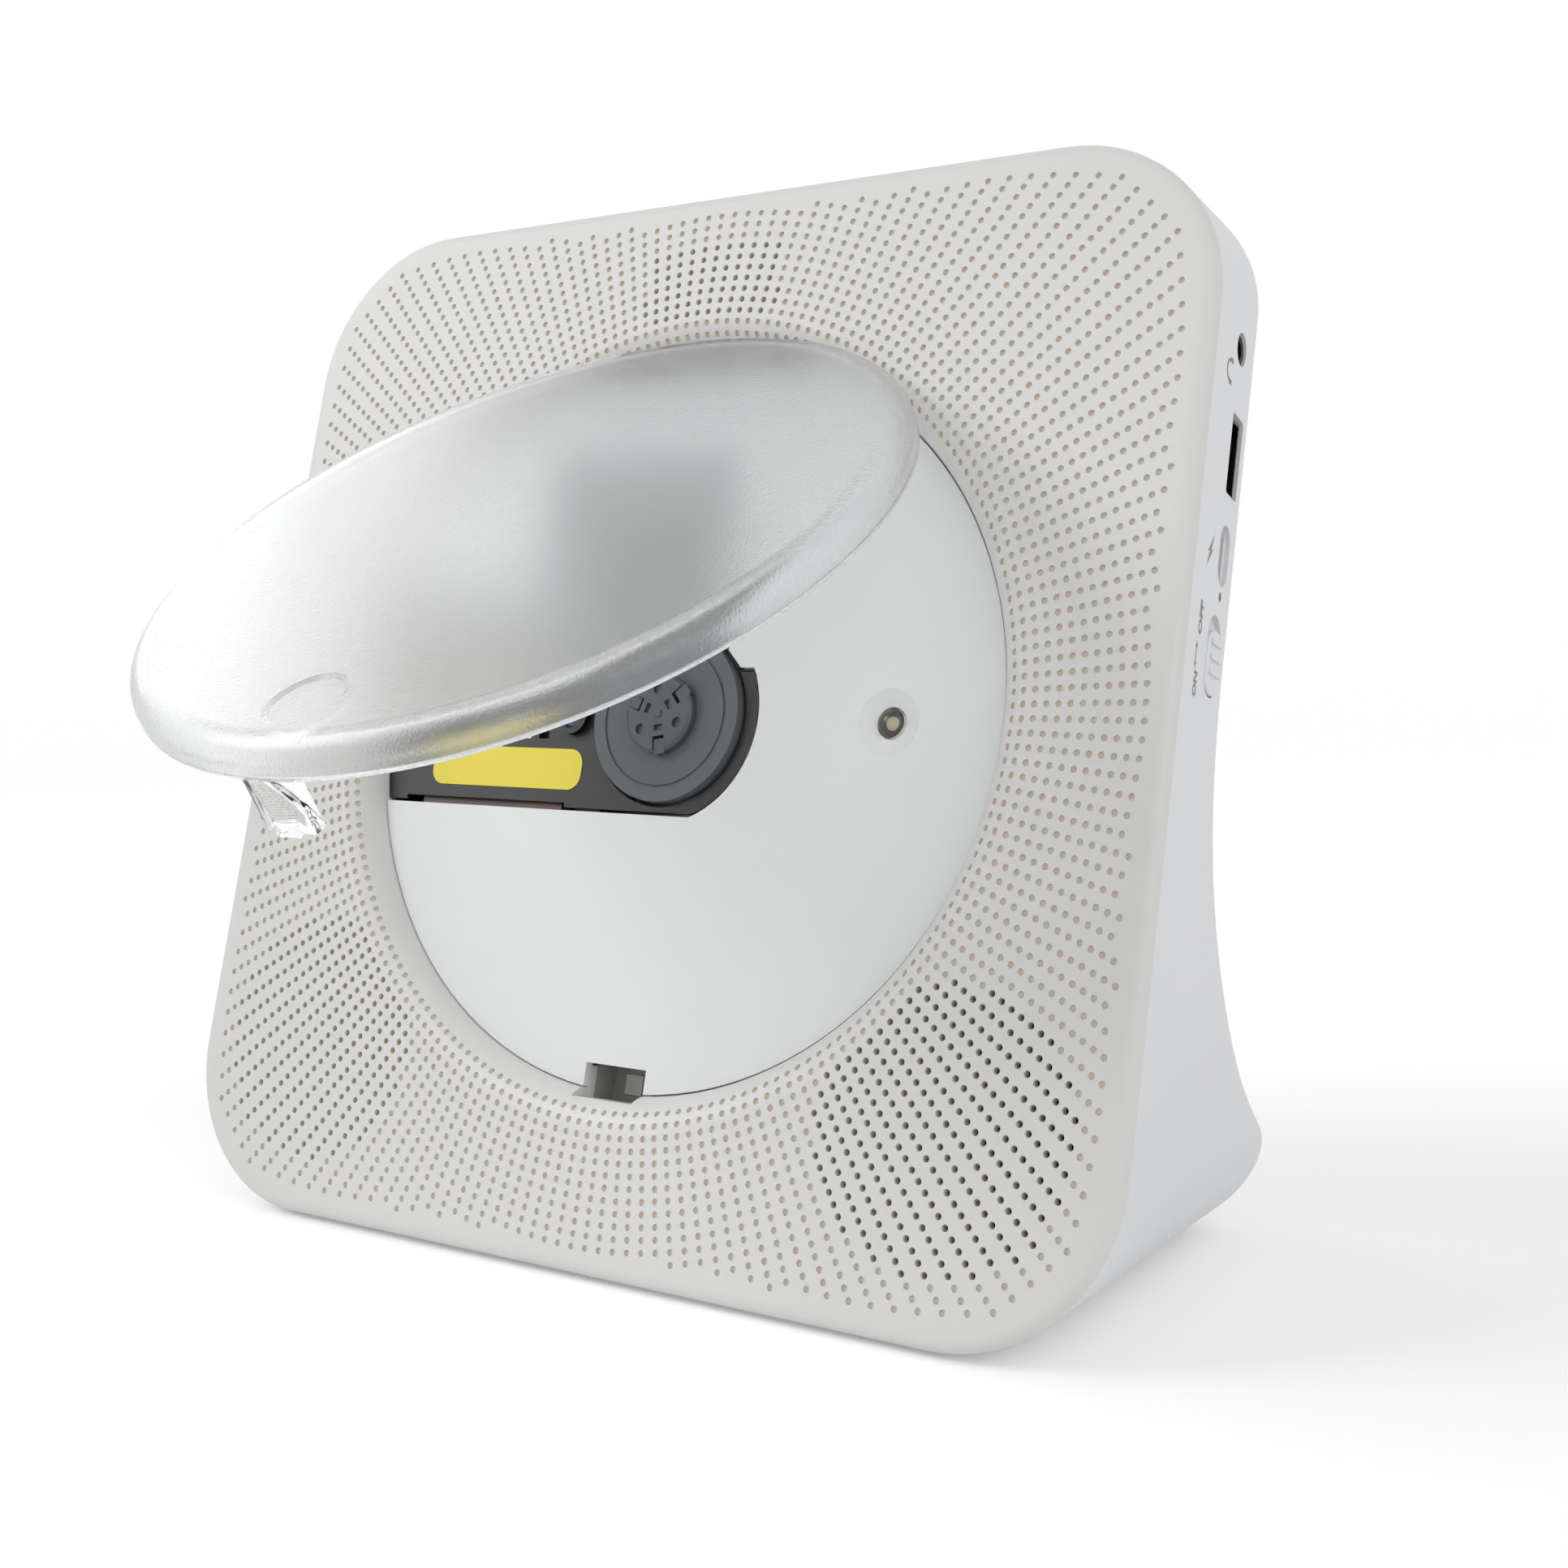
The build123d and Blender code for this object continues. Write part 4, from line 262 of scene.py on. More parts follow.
def etched_polycarbonate():
    """Frosted clear plastic with a sparkling grain, left clear below the lid's rim."""
    material, tree, place = new_material("etched_clear_polycarbonate")
    grain = add(tree, "ShaderNodeTexNoise", {"Vector": place, "Scale": 1 / (0.45 * MM), "Detail": 2.0})
    inward = add(tree, "ShaderNodeVectorMath", {0: place, 1: tuple(LID_INWARD)}, operation="DOT_PRODUCT")
    below = add(tree, "ShaderNodeMapRange", {"Value": inward.outputs["Value"],
                                             "From Min": LID_RIM - RIM_BLEND * MM,
                                             "From Max": LID_RIM + RIM_BLEND * MM})
    clear = below.outputs["Result"]
    depth = add(tree, "ShaderNodeMapRange", {"Value": clear, "To Min": 0.7, "To Max": 0.0})
    bump = add(tree, "ShaderNodeBump", {"Height": grain.outputs["Fac"], "Distance": 0.05 * MM,
                                        "Strength": depth.outputs["Result"]})
    etched = add(tree, "ShaderNodeMapRange", {"Value": clear, "To Min": 0.24, "To Max": 0.03})
    through = add(tree, "ShaderNodeBsdfPrincipled", {"Base Color": linear("#FAFBFC"),
                                                     "Roughness": etched.outputs["Result"],
                                                     "Transmission Weight": 1.0, "IOR": 1.4,
                                                     "Normal": bump.outputs["Normal"]})
    haze = add(tree, "ShaderNodeBsdfPrincipled", {"Base Color": linear("#E4E6E7"), "Roughness": 0.35,
                                                  "Normal": bump.outputs["Normal"], "IOR": 1.58})
    speckle = add(tree, "ShaderNodeMapRange", {"Value": grain.outputs["Fac"], "From Min": 0.3,
                                               "From Max": 0.7, "To Min": 0.05, "To Max": 0.13})
    share = add(tree, "ShaderNodeMapRange", {"Value": clear, "To Min": speckle.outputs["Result"],
                                             "To Max": 0.0})
    shader = add(tree, "ShaderNodeMixShader", {0: share.outputs["Result"], 1: through.outputs[0],
                                               2: haze.outputs[0]})
    return surface(material, tree, shader.outputs[0])


frosted_pc = etched_polycarbonate()


def clear_plastic(name, colour, roughness, transmission):
    """Clear cast plastic or glass with a faint flow pattern."""
    material, tree, place = new_material(name)
    flow = add(tree, "ShaderNodeTexNoise", {"Vector": place, "Scale": 1 / (2.0 * MM), "Detail": 1.0})
    bump = add(tree, "ShaderNodeBump", {"Height": flow.outputs["Fac"], "Distance": 0.01 * MM,
                                        "Strength": 0.2})
    shader = add(tree, "ShaderNodeBsdfPrincipled", {"Base Color": linear(colour), "Roughness": roughness,
                                                    "Transmission Weight": transmission, "IOR": 1.5,
                                                    "Normal": bump.outputs["Normal"]})
    return surface(material, tree, shader.outputs[0])


lamp_resin = clear_plastic("clear_lamp_epoxy", "#CCCABF", 0.05, 0.92)
lens_glass = clear_plastic("coated_lens_glass", "#6F7FA8", 0.02, 0.6)
phosphor = moulded("pale_yellow_lamp_phosphor", "#EFE6CE", "#E6DABC", 0.5, 0.2, 0.02)
label_film = moulded("yellow_label_film", "#E0CF22", "#D8C61C", 0.4, 0.4, 0.003, coat=0.3)
amber_film = moulded("brown_polyimide_film", "#55301C", "#482818", 0.3, 0.8, 0.005, coat=0.4)
solder_mask = moulded("green_solder_mask", "#1F5A38", "#194B2E", 0.35, 0.5, 0.01, coat=0.2)
cone_paper = moulded("black_pressed_paper", "#1B1B1A", "#242322", 0.85, 0.25, 0.05)
battery_film = moulded("blue_shrink_film", "#32508E", "#2A447C", 0.3, 1.5, 0.02, coat=0.3)
print("clear plastics, films and papers ready")

# %% [markdown]
# The solid pieces that already have their true shape only need a finish. A dictionary says which
# nodes each finish covers. The front, the lid and the latch spring are not in it: they are made anew.
# %% Finishes on the frame's own pieces
finishes = {
    back_abs: ["rear_housing", "power_knob"] + [name for name in nodes if name.startswith("key_")],
    deck_abs: ["deck_plate"],
    grey_abs: ["latch_case"],
    hub_abs: ["disc_hub", "hub_jaw_1", "hub_jaw_2", "hub_jaw_3"],
    mat_rubber: ["platter"],
    white_pom: ["damper_gear", "sled_rack", "sled_gear", "latch_slider", "charge_socket"],
    zinc_steel: ["hinge_bracket", "lid_spring", "mechanism_chassis", "spindle_motor", "sled_motor",
                 "speaker_magnets", "case_screws", "deck_screws", "inner_screws"],
    bright_steel: ["hinge_pin", "guide_rods"],
    black_nickel: ["usb_socket", "turntable_shaft"],
    brass: ["motor_pinion"],
    lamp_resin: ["deck_lamp", "charge_indicator"],
    lens_glass: ["objective_lens"],
    label_film: ["lens_label"],
    amber_film: ["flex_cable"],
    solder_mask: ["main_board", "jack_board", "key_board"],
    cone_paper: ["speaker_cones"],
    battery_film: ["battery_pack"],
    black_abs: ["mechanism_cover", "laser_sled", "damper_body", "usb_insulator", "headphone_jack",
                "power_switch", "key_switches", "display_module", "infrared_receiver",
                "board_components", "battery_cradle", "speaker_frames", "rubber_feet",
                "mount_grommets"],
}
for finish, names in finishes.items():
    for name in names:
        nodes[name].data.materials.clear()
        nodes[name].data.materials.append(finish)
anew = sorted(set(nodes) - {name for names in finishes.values() for name in names})
print("nodes to be made anew:", anew)

# %% [markdown]
# The front is one moulding with thousands of small blind pores in rings round the well. Over the two
# loudspeakers and the display they go right through. The pores sit on rings a little over two
# millimetres apart, two hundred to a ring, so they spread outwards like the seeds of a flower.
# %% Where the pores are
FACE_HALF = 102.5
BEVEL = 2.3
CORNER = 31.0
WALL = 2.0
WELL = 70.3
LIP = 7.1
COLUMNS = 200
THIRDS = 3
RING_STEP = 2.163
FIRST_RING = 78.26
PORE = 0.62
PORE_SIDES = 10
PORE_DEPTH = 0.55
FIELD_HALF = 97.9
FIELD_CORNER = 27.0
SPEAKER_PORES = (70.0, -68.0, 24.0)
DISPLAY_PORES = (15.5, 77.0, 91.5)


def in_field(x, y):
    """True where the rounded square field of pores reaches."""
    side, height = abs(x), abs(y)
    straight = FIELD_HALF - FIELD_CORNER
    if side > FIELD_HALF or height > FIELD_HALF:
        return False
    if side > straight and height > straight:
        return math.hypot(side - straight, height - straight) <= FIELD_CORNER
    return True


def goes_through(x, y):
    """True where a pore lies over a loudspeaker or the display."""
    centre_x, centre_y, radius = SPEAKER_PORES
    half_width, low, high = DISPLAY_PORES
    if math.hypot(abs(x) - centre_x, y - centre_y) < radius:
        return True
    return abs(x) < half_width and low < y < high


pores = []
rings = int((math.hypot(FIELD_HALF, FIELD_HALF) - FIRST_RING) / RING_STEP) + 1
for ring in range(rings):
    for column in range(COLUMNS):
        radius = FIRST_RING + RING_STEP * ring
        angle = 2 * math.pi * column / COLUMNS
        x, y = radius * math.cos(angle), radius * math.sin(angle)
        if in_field(x, y):
            pores.append((x, y))
print(len(pores), "pores,", sum(goes_through(x, y) for x, y in pores), "of them right through")

# %% [markdown]
# The flat part is drawn as an outline with a small polygon for each pore, and filled by a constrained
# triangulation, which leaves the pores open. It is one step in place of thousands of separate cuts.
# %% The flat perforated plate
def rounded_square(half, corner, steps=16):
    """Points round a square with rounded corners, in millimetres."""
    straight = half - corner
    points = []
    for quarter in range(4):
        middle_x = straight if quarter in (0, 3) else -straight
        middle_y = straight if quarter in (0, 1) else -straight
        for step in range(steps + 1):
            angle = math.pi / 2 * (quarter + step / steps)
            points.append((middle_x + corner * math.cos(angle), middle_y + corner * math.sin(angle)))
    return points


def circle(radius, sides, x=0.0, y=0.0):
    """Points round a circle, in millimetres."""
    turns = [2 * math.pi * side / sides for side in range(sides)]
    return [(x + radius * math.cos(turn), y + radius * math.sin(turn)) for turn in turns]


def well_outline():
    """The round opening of the flat plate, with the same points as the lip's top row."""
    step = 2 * math.pi / COLUMNS / THIRDS
    turns = [step * (number + 0.5) for number in range(COLUMNS * THIRDS)]
    return [((WELL + LIP) * math.cos(turn), (WELL + LIP) * math.sin(turn)) for turn in turns]


outline_points, loops = [], []


def add_loop(points):
    """Adds a closed line to the flat outline and returns where its points are."""
    loops.append(list(range(len(outline_points), len(outline_points) + len(points))))
    outline_points.extend(Vector(point) for point in points)


add_loop(rounded_square(FACE_HALF - BEVEL, CORNER - BEVEL))
add_loop(well_outline())
for x, y in pores:
    add_loop(circle(PORE, PORE_SIDES, x, y))
HOLES_STAY_OPEN, SAME_POINT = 2, 1e-5
filled = delaunay_2d_cdt(outline_points, [], loops, HOLES_STAY_OPEN, SAME_POINT)
filled_points, filled_faces, came_from = filled[0], filled[2], filled[3]
now_at = {old: new for new, olds in enumerate(came_from) for old in olds}
plate_points = [(point.x, point.y, 0) for point in filled_points]
plate_faces = [list(face) for face in filled_faces]
print("flat plate:", len(plate_faces), "triangles round", len(pores), "pores")

# %% [markdown]
# Each pore gets a wall and, unless it goes through, a floor. The plate's outer edge is carried on over
# the bevel and back to the line where the case is parted. These faces are added to the same mesh.
# %% Pore walls, floors and the bevel
first_pore_face = len(plate_faces)
for (x, y), loop in zip(pores, loops[2:]):
    depth = WALL if goes_through(x, y) else PORE_DEPTH
    rim = [now_at[index] for index in loop]
    base = len(plate_points)
    plate_points += [(plate_points[index][0], plate_points[index][1], -depth) for index in rim]
    for side in range(PORE_SIDES):
        after = (side + 1) % PORE_SIDES
        plate_faces.append([rim[side], rim[after], base + after, base + side])
    if depth < WALL:
        plate_faces.append(list(range(base, base + PORE_SIDES)))
first_rim_face = len(plate_faces)
rim = [now_at[index] for index in loops[0]]
BEVEL_STEPS = 4
bevel_turns = [math.pi / 2 * step / BEVEL_STEPS for step in range(1, BEVEL_STEPS + 1)]
rim_stations = [(-BEVEL * (1 - math.cos(turn)), BEVEL * math.sin(turn)) for turn in bevel_turns]
rim_stations.append((-BEVEL, BEVEL - WALL))
for height, grown in rim_stations:
    base = len(plate_points)
    plate_points += [(px, py, height) for px, py in
                     rounded_square(FACE_HALF - BEVEL + grown, CORNER - BEVEL + grown)]
    for index in range(len(rim)):
        after = (index + 1) % len(rim)
        plate_faces.append([rim[index], base + index, base + after, rim[after]])
    rim = list(range(base, len(plate_points)))
plate = mesh_piece("plate", plate_points, plate_faces)
finished(plate, "front_plate", FACE, "housing", "pale_plastic", case_abs, pore_shade_tint_abs)
# The pore walls and floors take the painted shade tint.
for face in plate.data.polygons[first_pore_face:first_rim_face]:
    face.material_index = 1
smooth(plate, 30)
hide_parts("front_cover")
print("front plate:", sum(len(face.vertices) - 2 for face in plate.data.polygons), "triangles")

# %% [markdown]
# The lip is a quarter round that leads from the face down into the well, and two more rings of pores
# sit on it. It is a strip whose columns match the plate's. In a pore's cell the outline of the cell and
# the pore's rim have the same number of points, so a ring of quads joins them. Behind the quarter round
# the strip turns back on itself, which closes the lip to a solid moulding.
# %% The lip of the well
PORE_INSETS = (1.3, 3.47)
PORE_ROWS = (1, 2)
LIP_PORES = [math.asin(inset / LIP) for inset in PORE_INSETS]
lip_rows = [0.0, math.radians(2.0), sum(LIP_PORES) / 2] + [math.radians(bend) for bend in (40, 57, 73, 90)]
BACK_OUT, BACK_UP = 1.5, 3.0
lip_back = [(WELL, -LIP), (WELL + WALL, -LIP), (WELL + WALL + BACK_OUT, -LIP + BACK_UP),
            (WELL + LIP, -WALL), (WELL + LIP, 0)]
WELD = 0.005


def on_lip(turn, along, sunk=0.0):
    """A point on the lip: turn round the well, along the quarter round, sunk below its surface."""
    bend = LIP - sunk
    radius = WELL + LIP - bend * math.sin(along)
    return (radius * math.cos(turn), radius * math.sin(turn), -LIP + bend * math.cos(along))


def cell_outline(turn_low, turn_high, low, high):
    """Twelve places round a cell of the lip, starting at its low corner."""
    shares = [(0, 0), (1, 0), (2, 0), (3, 0), (3, 1), (3, 2), (3, 3), (2, 3), (1, 3), (0, 3), (0, 2), (0, 1)]
    return [(turn_low + (turn_high - turn_low) * across / THIRDS, low + (high - low) * up / THIRDS)
            for across, up in shares]


lip_mesh = bmesh.new()
pore_faces = []


def lip_vertex(turn, along, sunk=0.0):
    """Adds one vertex of the lip."""
    return lip_mesh.verts.new(Vector(on_lip(turn, along, sunk)) * MM)


column_turn = 2 * math.pi / COLUMNS
for column in range(COLUMNS):
    turn_low = (column - 0.5) * column_turn
    turn_high = turn_low + column_turn
    for row, (low, high) in enumerate(zip(lip_rows, lip_rows[1:])):
        if row in PORE_ROWS:
            centre = LIP_PORES[PORE_ROWS.index(row)]
            radius = WELL + LIP - LIP * math.sin(centre)
            outline = cell_outline(turn_low, turn_high, low, high)
            outer, rim, floor = [], [], []
            for turn, along in outline:
                outer.append(lip_vertex(turn, along))
                way = math.atan2((along - centre) * LIP, (turn - column * column_turn) * radius)
                pore_turn = column * column_turn + PORE * math.cos(way) / radius
                pore_along = centre + PORE * math.sin(way) / LIP
                rim.append(lip_vertex(pore_turn, pore_along))
                floor.append(lip_vertex(pore_turn, pore_along, PORE_DEPTH))
            for side in range(len(outline)):
                after = (side + 1) % len(outline)
                lip_mesh.faces.new((outer[side], outer[after], rim[after], rim[side]))
                pore_faces.append(lip_mesh.faces.new((rim[side], rim[after], floor[after], floor[side])))
            pore_faces.append(lip_mesh.faces.new(floor))
        else:
            for third in range(THIRDS):
                start = turn_low + column_turn * third / THIRDS
                end = start + column_turn / THIRDS
                lip_mesh.faces.new([lip_vertex(start, low), lip_vertex(end, low), lip_vertex(end, high),
                                    lip_vertex(start, high)])
    for third in range(THIRDS):
        start = turn_low + column_turn * third / THIRDS
        end = start + column_turn / THIRDS
        for (r_low, z_low), (r_high, z_high) in zip(lip_back, lip_back[1:]):
            lip_mesh.faces.new([lip_mesh.verts.new(Vector((r * math.cos(t), r * math.sin(t), z)) * MM)
                                for r, t, z in ((r_low, start, z_low), (r_low, end, z_low),
                                                (r_high, end, z_high), (r_high, start, z_high))])
# The lip's pore walls and floors take the painted shade tint too.
for face in pore_faces:
    face.material_index = 1
bmesh.ops.remove_doubles(lip_mesh, verts=lip_mesh.verts, dist=WELD * MM)
lip = built_piece("lip", lip_mesh)
lip.data.materials.append(case_abs)
lip.data.materials.append(pore_shade_tint_abs)
print("lip:", len(lip.data.polygons), "faces")

# %% [markdown]
# The hinge notch and the latch slot are cut out of the lip as a tool would cut them, with an outline
# pulled right through it. The notch's upper edge keeps an even gap to the lid: it is the lid's round
# edge, made flatter by the cosine of the angle at which the lid stands open.
# %% Notch and latch slot in the lip
LID_RADIUS = 69.2
NOTCH_LOW, NOTCH_HALF, NOTCH_HIGH, NOTCH_STEPS = 64.6, 26.5, 72.95, 32
LATCH_HALF, LATCH_LOW, LATCH_HIGH = 6.85, -71.8, -64.0
CUT_BEHIND, CUT_BEFORE = -20, 5


def notch_edge(x):
    """Height of the notch's upper edge at x."""
    return NOTCH_HIGH - math.cos(LID_OPEN) * (LID_RADIUS - math.sqrt(LID_RADIUS ** 2 - x ** 2))


across = [NOTCH_HALF * (1 - 2 * step / NOTCH_STEPS) for step in range(NOTCH_STEPS + 1)]
notch = [(-NOTCH_HALF, NOTCH_LOW), (NOTCH_HALF, NOTCH_LOW)] + [(x, notch_edge(x)) for x in across]
latch = [(-LATCH_HALF, LATCH_LOW), (LATCH_HALF, LATCH_LOW), (LATCH_HALF, LATCH_HIGH),
         (-LATCH_HALF, LATCH_HIGH)]
for outline in (notch, latch):
    count = len(outline)
    block = [(x, y, z) for z in (CUT_BEHIND, CUT_BEFORE) for x, y in outline]
    ends = [tuple(range(count))[::-1], tuple(range(count, 2 * count))]
    sides = [(here, (here + 1) % count, (here + 1) % count + count, here + count) for here in range(count)]
    cut_out(lip, mesh_piece("cutter", block, ends + sides))
finished(lip, "well_lip", FACE, "housing", "pale_plastic")
smooth(lip, 40)
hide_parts("front_cover")
print("lip after cutting:", sum(len(f.vertices) - 2 for f in lip.data.polygons), "triangles")

# %% [markdown]
# The marks beside the switch and the sockets are pad printed in grey ink, a few hundredths of a
# millimetre thick. They lie on the side wall, which draws in towards the back by five degrees.
# %% A matrix for the side wall
DRAFT = math.radians(5.0)


def on_side(height, depth, proud=0.03):
    """Turns a flat print's x, y and z into up, forward and outward on the right side."""
    forward = (OUTWARD + Vector((math.tan(DRAFT), 0, 0))).normalized()
    origin = FACE @ (Vector((FACE_HALF - math.tan(DRAFT) * (depth - BEVEL), height, -depth)) * MM)
    turn = Matrix((UPWARD, forward, UPWARD.cross(forward))).transposed().to_4x4()
    return Matrix.Translation(origin) @ turn @ Matrix.Translation(Vector((0, 0, proud * MM)))


def printing_ink():
    """Grey pad printing ink: matt, with thin spots of a fifth of a millimetre."""
    material, tree, place = new_material("grey_pad_printing_ink")
    thin = add(tree, "ShaderNodeTexNoise", {"Vector": place, "Scale": 1 / (0.2 * MM), "Detail": 2.0})
    tone = add(tree, "ShaderNodeMix", {0: thin.outputs["Fac"], 6: linear("#7E7C7A"), 7: linear("#8E8C8A")},
               data_type="RGBA")
    shader = add(tree, "ShaderNodeBsdfPrincipled", {"Base Color": tone.outputs[2], "Roughness": 0.6})
    return surface(material, tree, shader.outputs[0])


ink = printing_ink()
print("side wall drawn in by", round(math.degrees(DRAFT), 1), "degrees, ink ready")

# %% [markdown]
# The words are plain letters, made a little bolder by an outward offset and stretched to their printed
# length. Text is made a mesh before it is put in its place.
# %% Words ON and OFF
LETTER_SIZE, STROKE_SPREAD = 2.4, 0.11


def word(text, name, height, depth, length):
    """Prints a word that reads upwards, starting at height, as long as length."""
    bpy.ops.object.select_all(action="DESELECT")
    bpy.ops.object.text_add()
    made = bpy.context.object
    made.data.body = text
    made.data.size = LETTER_SIZE * MM
    made.data.align_y = "CENTER"
    made.data.offset = STROKE_SPREAD * MM
    bpy.ops.object.convert(target="MESH")
    widths = [v.co.x for v in made.data.vertices]
    stretch = length * MM / (max(widths) - min(widths))
    along = Matrix.Scale(stretch, 4, Vector((1, 0, 0)))
    made.data.transform(along @ Matrix.Translation((-min(widths), 0, 0)))
    finished(made, name, on_side(height, depth), "housing", "grey_plastic", ink)
    print(text, "is", round(length, 1), "mm long")


word("ON", "print_on", 6.2, 9.2, 4.2)
word("OFF", "print_off", 16.5, 9.0, 5.7)

# %% [markdown]
# The signs are flat outlines: an arrow with two heads for the travel of the switch, a bolt beside the
# charging socket and a pair of headphones beside theirs.
# %% Signs: double arrow, charging bolt, headphones
def sign(name, height, depth, *outlines):
    """Prints flat shapes; each outline is a list of points in millimetres."""
    points, faces = [], []
    for outline in outlines:
        faces.append(list(range(len(points), len(points) + len(outline))))
        points += [(x, y, 0) for x, y in outline]
    made = mesh_piece(name, points, faces)
    finished(made, name, on_side(height, depth), "housing", "grey_plastic", ink)


ARROW, HEAD, BARB, SHAFT = 4.8, 1.2, 0.6, 0.15
sign("print_double_arrow", 10.6, 8.1,
     [(0, 0), (HEAD, -BARB), (HEAD, -SHAFT), (ARROW - HEAD, -SHAFT), (ARROW - HEAD, -BARB), (ARROW, 0),
      (ARROW - HEAD, BARB), (ARROW - HEAD, SHAFT), (HEAD, SHAFT), (HEAD, BARB)])
sign("print_bolt", 28.2, 10.4,
     [(6.0, -1.5), (2.5, 1.4), (2.9, 0.25), (0, 1.5), (3.5, -1.4), (3.1, -0.25)])
BAND_X, BAND_Y, BAND_OUTER, BAND_INNER, BAND_STEPS = 2.4, 0.2, 2.0, 1.45, 12
CUP_LOW, CUP_HIGH = -1.2, 0.3
band = []
for radius, steps in ((BAND_OUTER, range(BAND_STEPS + 1)), (BAND_INNER, range(BAND_STEPS, -1, -1))):
    turns = [math.pi * step / BAND_STEPS for step in steps]
    band += [(BAND_X + radius * math.cos(turn), BAND_Y + radius * math.sin(turn)) for turn in turns]
cups = [[(left, CUP_LOW), (right, CUP_LOW), (right, CUP_HIGH), (left, CUP_HIGH)]
        for left, right in ((0.1, 1.0), (3.8, 4.7))]
sign("print_headphones", 60.2, 11.2, band, *cups)
print("printed signs done")

# %% [markdown]
# A white lamp is a blue chip under a drop of yellow phosphor, in a clear epoxy dome. The drop is what
# gives the dome its warm tint when it is off.
# %% Phosphor drop in the lamp
LAMP_X, PHOSPHOR_DEPTH, PHOSPHOR_RADIUS, PHOSPHOR_FLAT = 48.0, 7.4, 0.95, 0.45
bpy.ops.object.select_all(action="DESELECT")
bpy.ops.mesh.primitive_uv_sphere_add(segments=32, ring_count=16, radius=PHOSPHOR_RADIUS * MM)
drop = bpy.context.object
drop.scale.z = PHOSPHOR_FLAT
drop.location = Vector((LAMP_X, 0, -PHOSPHOR_DEPTH)) * MM
finished(drop, "lamp_phosphor", FACE, "housing", "lamp_plastic", phosphor)
smooth(drop)
print("phosphor drop", PHOSPHOR_RADIUS, "mm in radius")

# %% [markdown]
# The lid is a shallow dish, moulded in one piece with its hook, its two hinge ears and the sector that
# drives the damper. Clear plastic shows every facet, so the dish is turned here from a fine profile.
# %% Lid
LID_UP = Vector((0, math.sin(LID_TURN), math.cos(LID_TURN)))
LID = plane_matrix(LID_MIDDLE, LID_UP, -LID_INWARD)
LID_TOP, LID_UNDER, LID_FOOT, LID_WALL, LID_ROUND, CHAMFER = 1.1, -0.9, -5.2, 2.0, 4.8, 0.2
FLAT_RADIUS, BEND_LEAD = 60.0, 0.2
TURNED, FINE = 256, 14


def round_turn(radius):
    """The quarter round of the lid's edge, from its flat top down to its side."""
    centre_out, centre_up = LID_RADIUS - LID_ROUND, LID_TOP - LID_ROUND
    turns = [math.pi / 2 * step / FINE for step in range(FINE + 1)]
    return [(centre_out + radius * math.sin(turn), centre_up + radius * math.cos(turn)) for turn in turns]


flat_edge = LID_RADIUS - LID_ROUND - BEND_LEAD
profile = [(FLAT_RADIUS, LID_TOP), (flat_edge, LID_TOP)] + round_turn(LID_ROUND)
profile += [(LID_RADIUS, LID_FOOT + CHAMFER), (LID_RADIUS - CHAMFER, LID_FOOT),
            (LID_RADIUS - LID_WALL + CHAMFER, LID_FOOT), (LID_RADIUS - LID_WALL, LID_FOOT + CHAMFER)]
profile += round_turn(LID_ROUND - LID_WALL)[::-1] + [(flat_edge, LID_UNDER), (FLAT_RADIUS, LID_UNDER)]
dish_mesh = bmesh.new()
dish_rows = [[dish_mesh.verts.new(Vector((radius * math.cos(turn), radius * math.sin(turn), out)) * MM)
              for turn in [2 * math.pi * step / TURNED for step in range(TURNED)]]
             for radius, out in profile]
for row, after in zip(dish_rows, dish_rows[1:]):
    for step in range(TURNED):
        following = (step + 1) % TURNED
        dish_mesh.faces.new((row[step], row[following], after[following], after[step]))
dish_mesh.faces.new(dish_rows[0])
dish_mesh.faces.new(dish_rows[-1][::-1])
dish = built_piece("dish", dish_mesh)
print("dish:", len(dish.data.polygons), "faces")

# %% [markdown]
# A finger presses on a round dimple near the lid's free edge. It is cut with a cone, whose slope makes
# the dimple's sloping rim.
# %% Finger dimple
DIMPLE_X, DIMPLE_UP, DIMPLE_RADIUS, DIMPLE_SLOPE, DIMPLE_DEPTH = 1.0, -56.7, 6.0, 1.0, 0.45
CUTTER_RISE = 0.5
cutter_high = DIMPLE_DEPTH + CUTTER_RISE
bpy.ops.object.select_all(action="DESELECT")
bpy.ops.mesh.primitive_cone_add(
    vertices=96, radius1=DIMPLE_RADIUS * MM, depth=cutter_high * MM,
    radius2=(DIMPLE_RADIUS + DIMPLE_SLOPE * cutter_high / DIMPLE_DEPTH) * MM,
    location=Vector((DIMPLE_X, DIMPLE_UP, LID_TOP + (CUTTER_RISE - DIMPLE_DEPTH) / 2)) * MM)
cut_out(dish, bpy.context.object)
smooth(dish, 8)
print("dish with its dimple:", len(dish.data.polygons), "faces")

# %% [markdown]
# The hook, the hinge ears and the gear sector keep the shape they have in the frame. They are cut off
# that mesh just below the lid's rim, and the cut edge is lifted to meet the turned dish.
# %% Hook, hinge ears and gear sector
CUT_UNDER, LAP, SAME_PLACE = 0.05, 0.01, 0.001
below = bmesh.new()
below.from_mesh(nodes["lid"].data)
below.transform(LID.inverted() @ nodes["lid"].matrix_world)
bmesh.ops.remove_doubles(below, verts=below.verts, dist=SAME_PLACE * MM)
cut_level = (LID_FOOT - CUT_UNDER) * MM
bmesh.ops.bisect_plane(below, geom=below.verts[:] + below.edges[:] + below.faces[:],
                       plane_co=(0, 0, cut_level), plane_no=(0, 0, 1), clear_outer=True)
for vert in below.verts:
    if abs(vert.co.z - cut_level) < SAME_PLACE * MM:
        vert.co.z = (LID_FOOT + LAP) * MM
bmesh.ops.holes_fill(below, edges=[edge for edge in below.edges if edge.is_boundary], sides=0)
fittings = built_piece("fittings", below)
smooth(fittings, 30)
only(dish)
fittings.select_set(True)
bpy.ops.object.join()
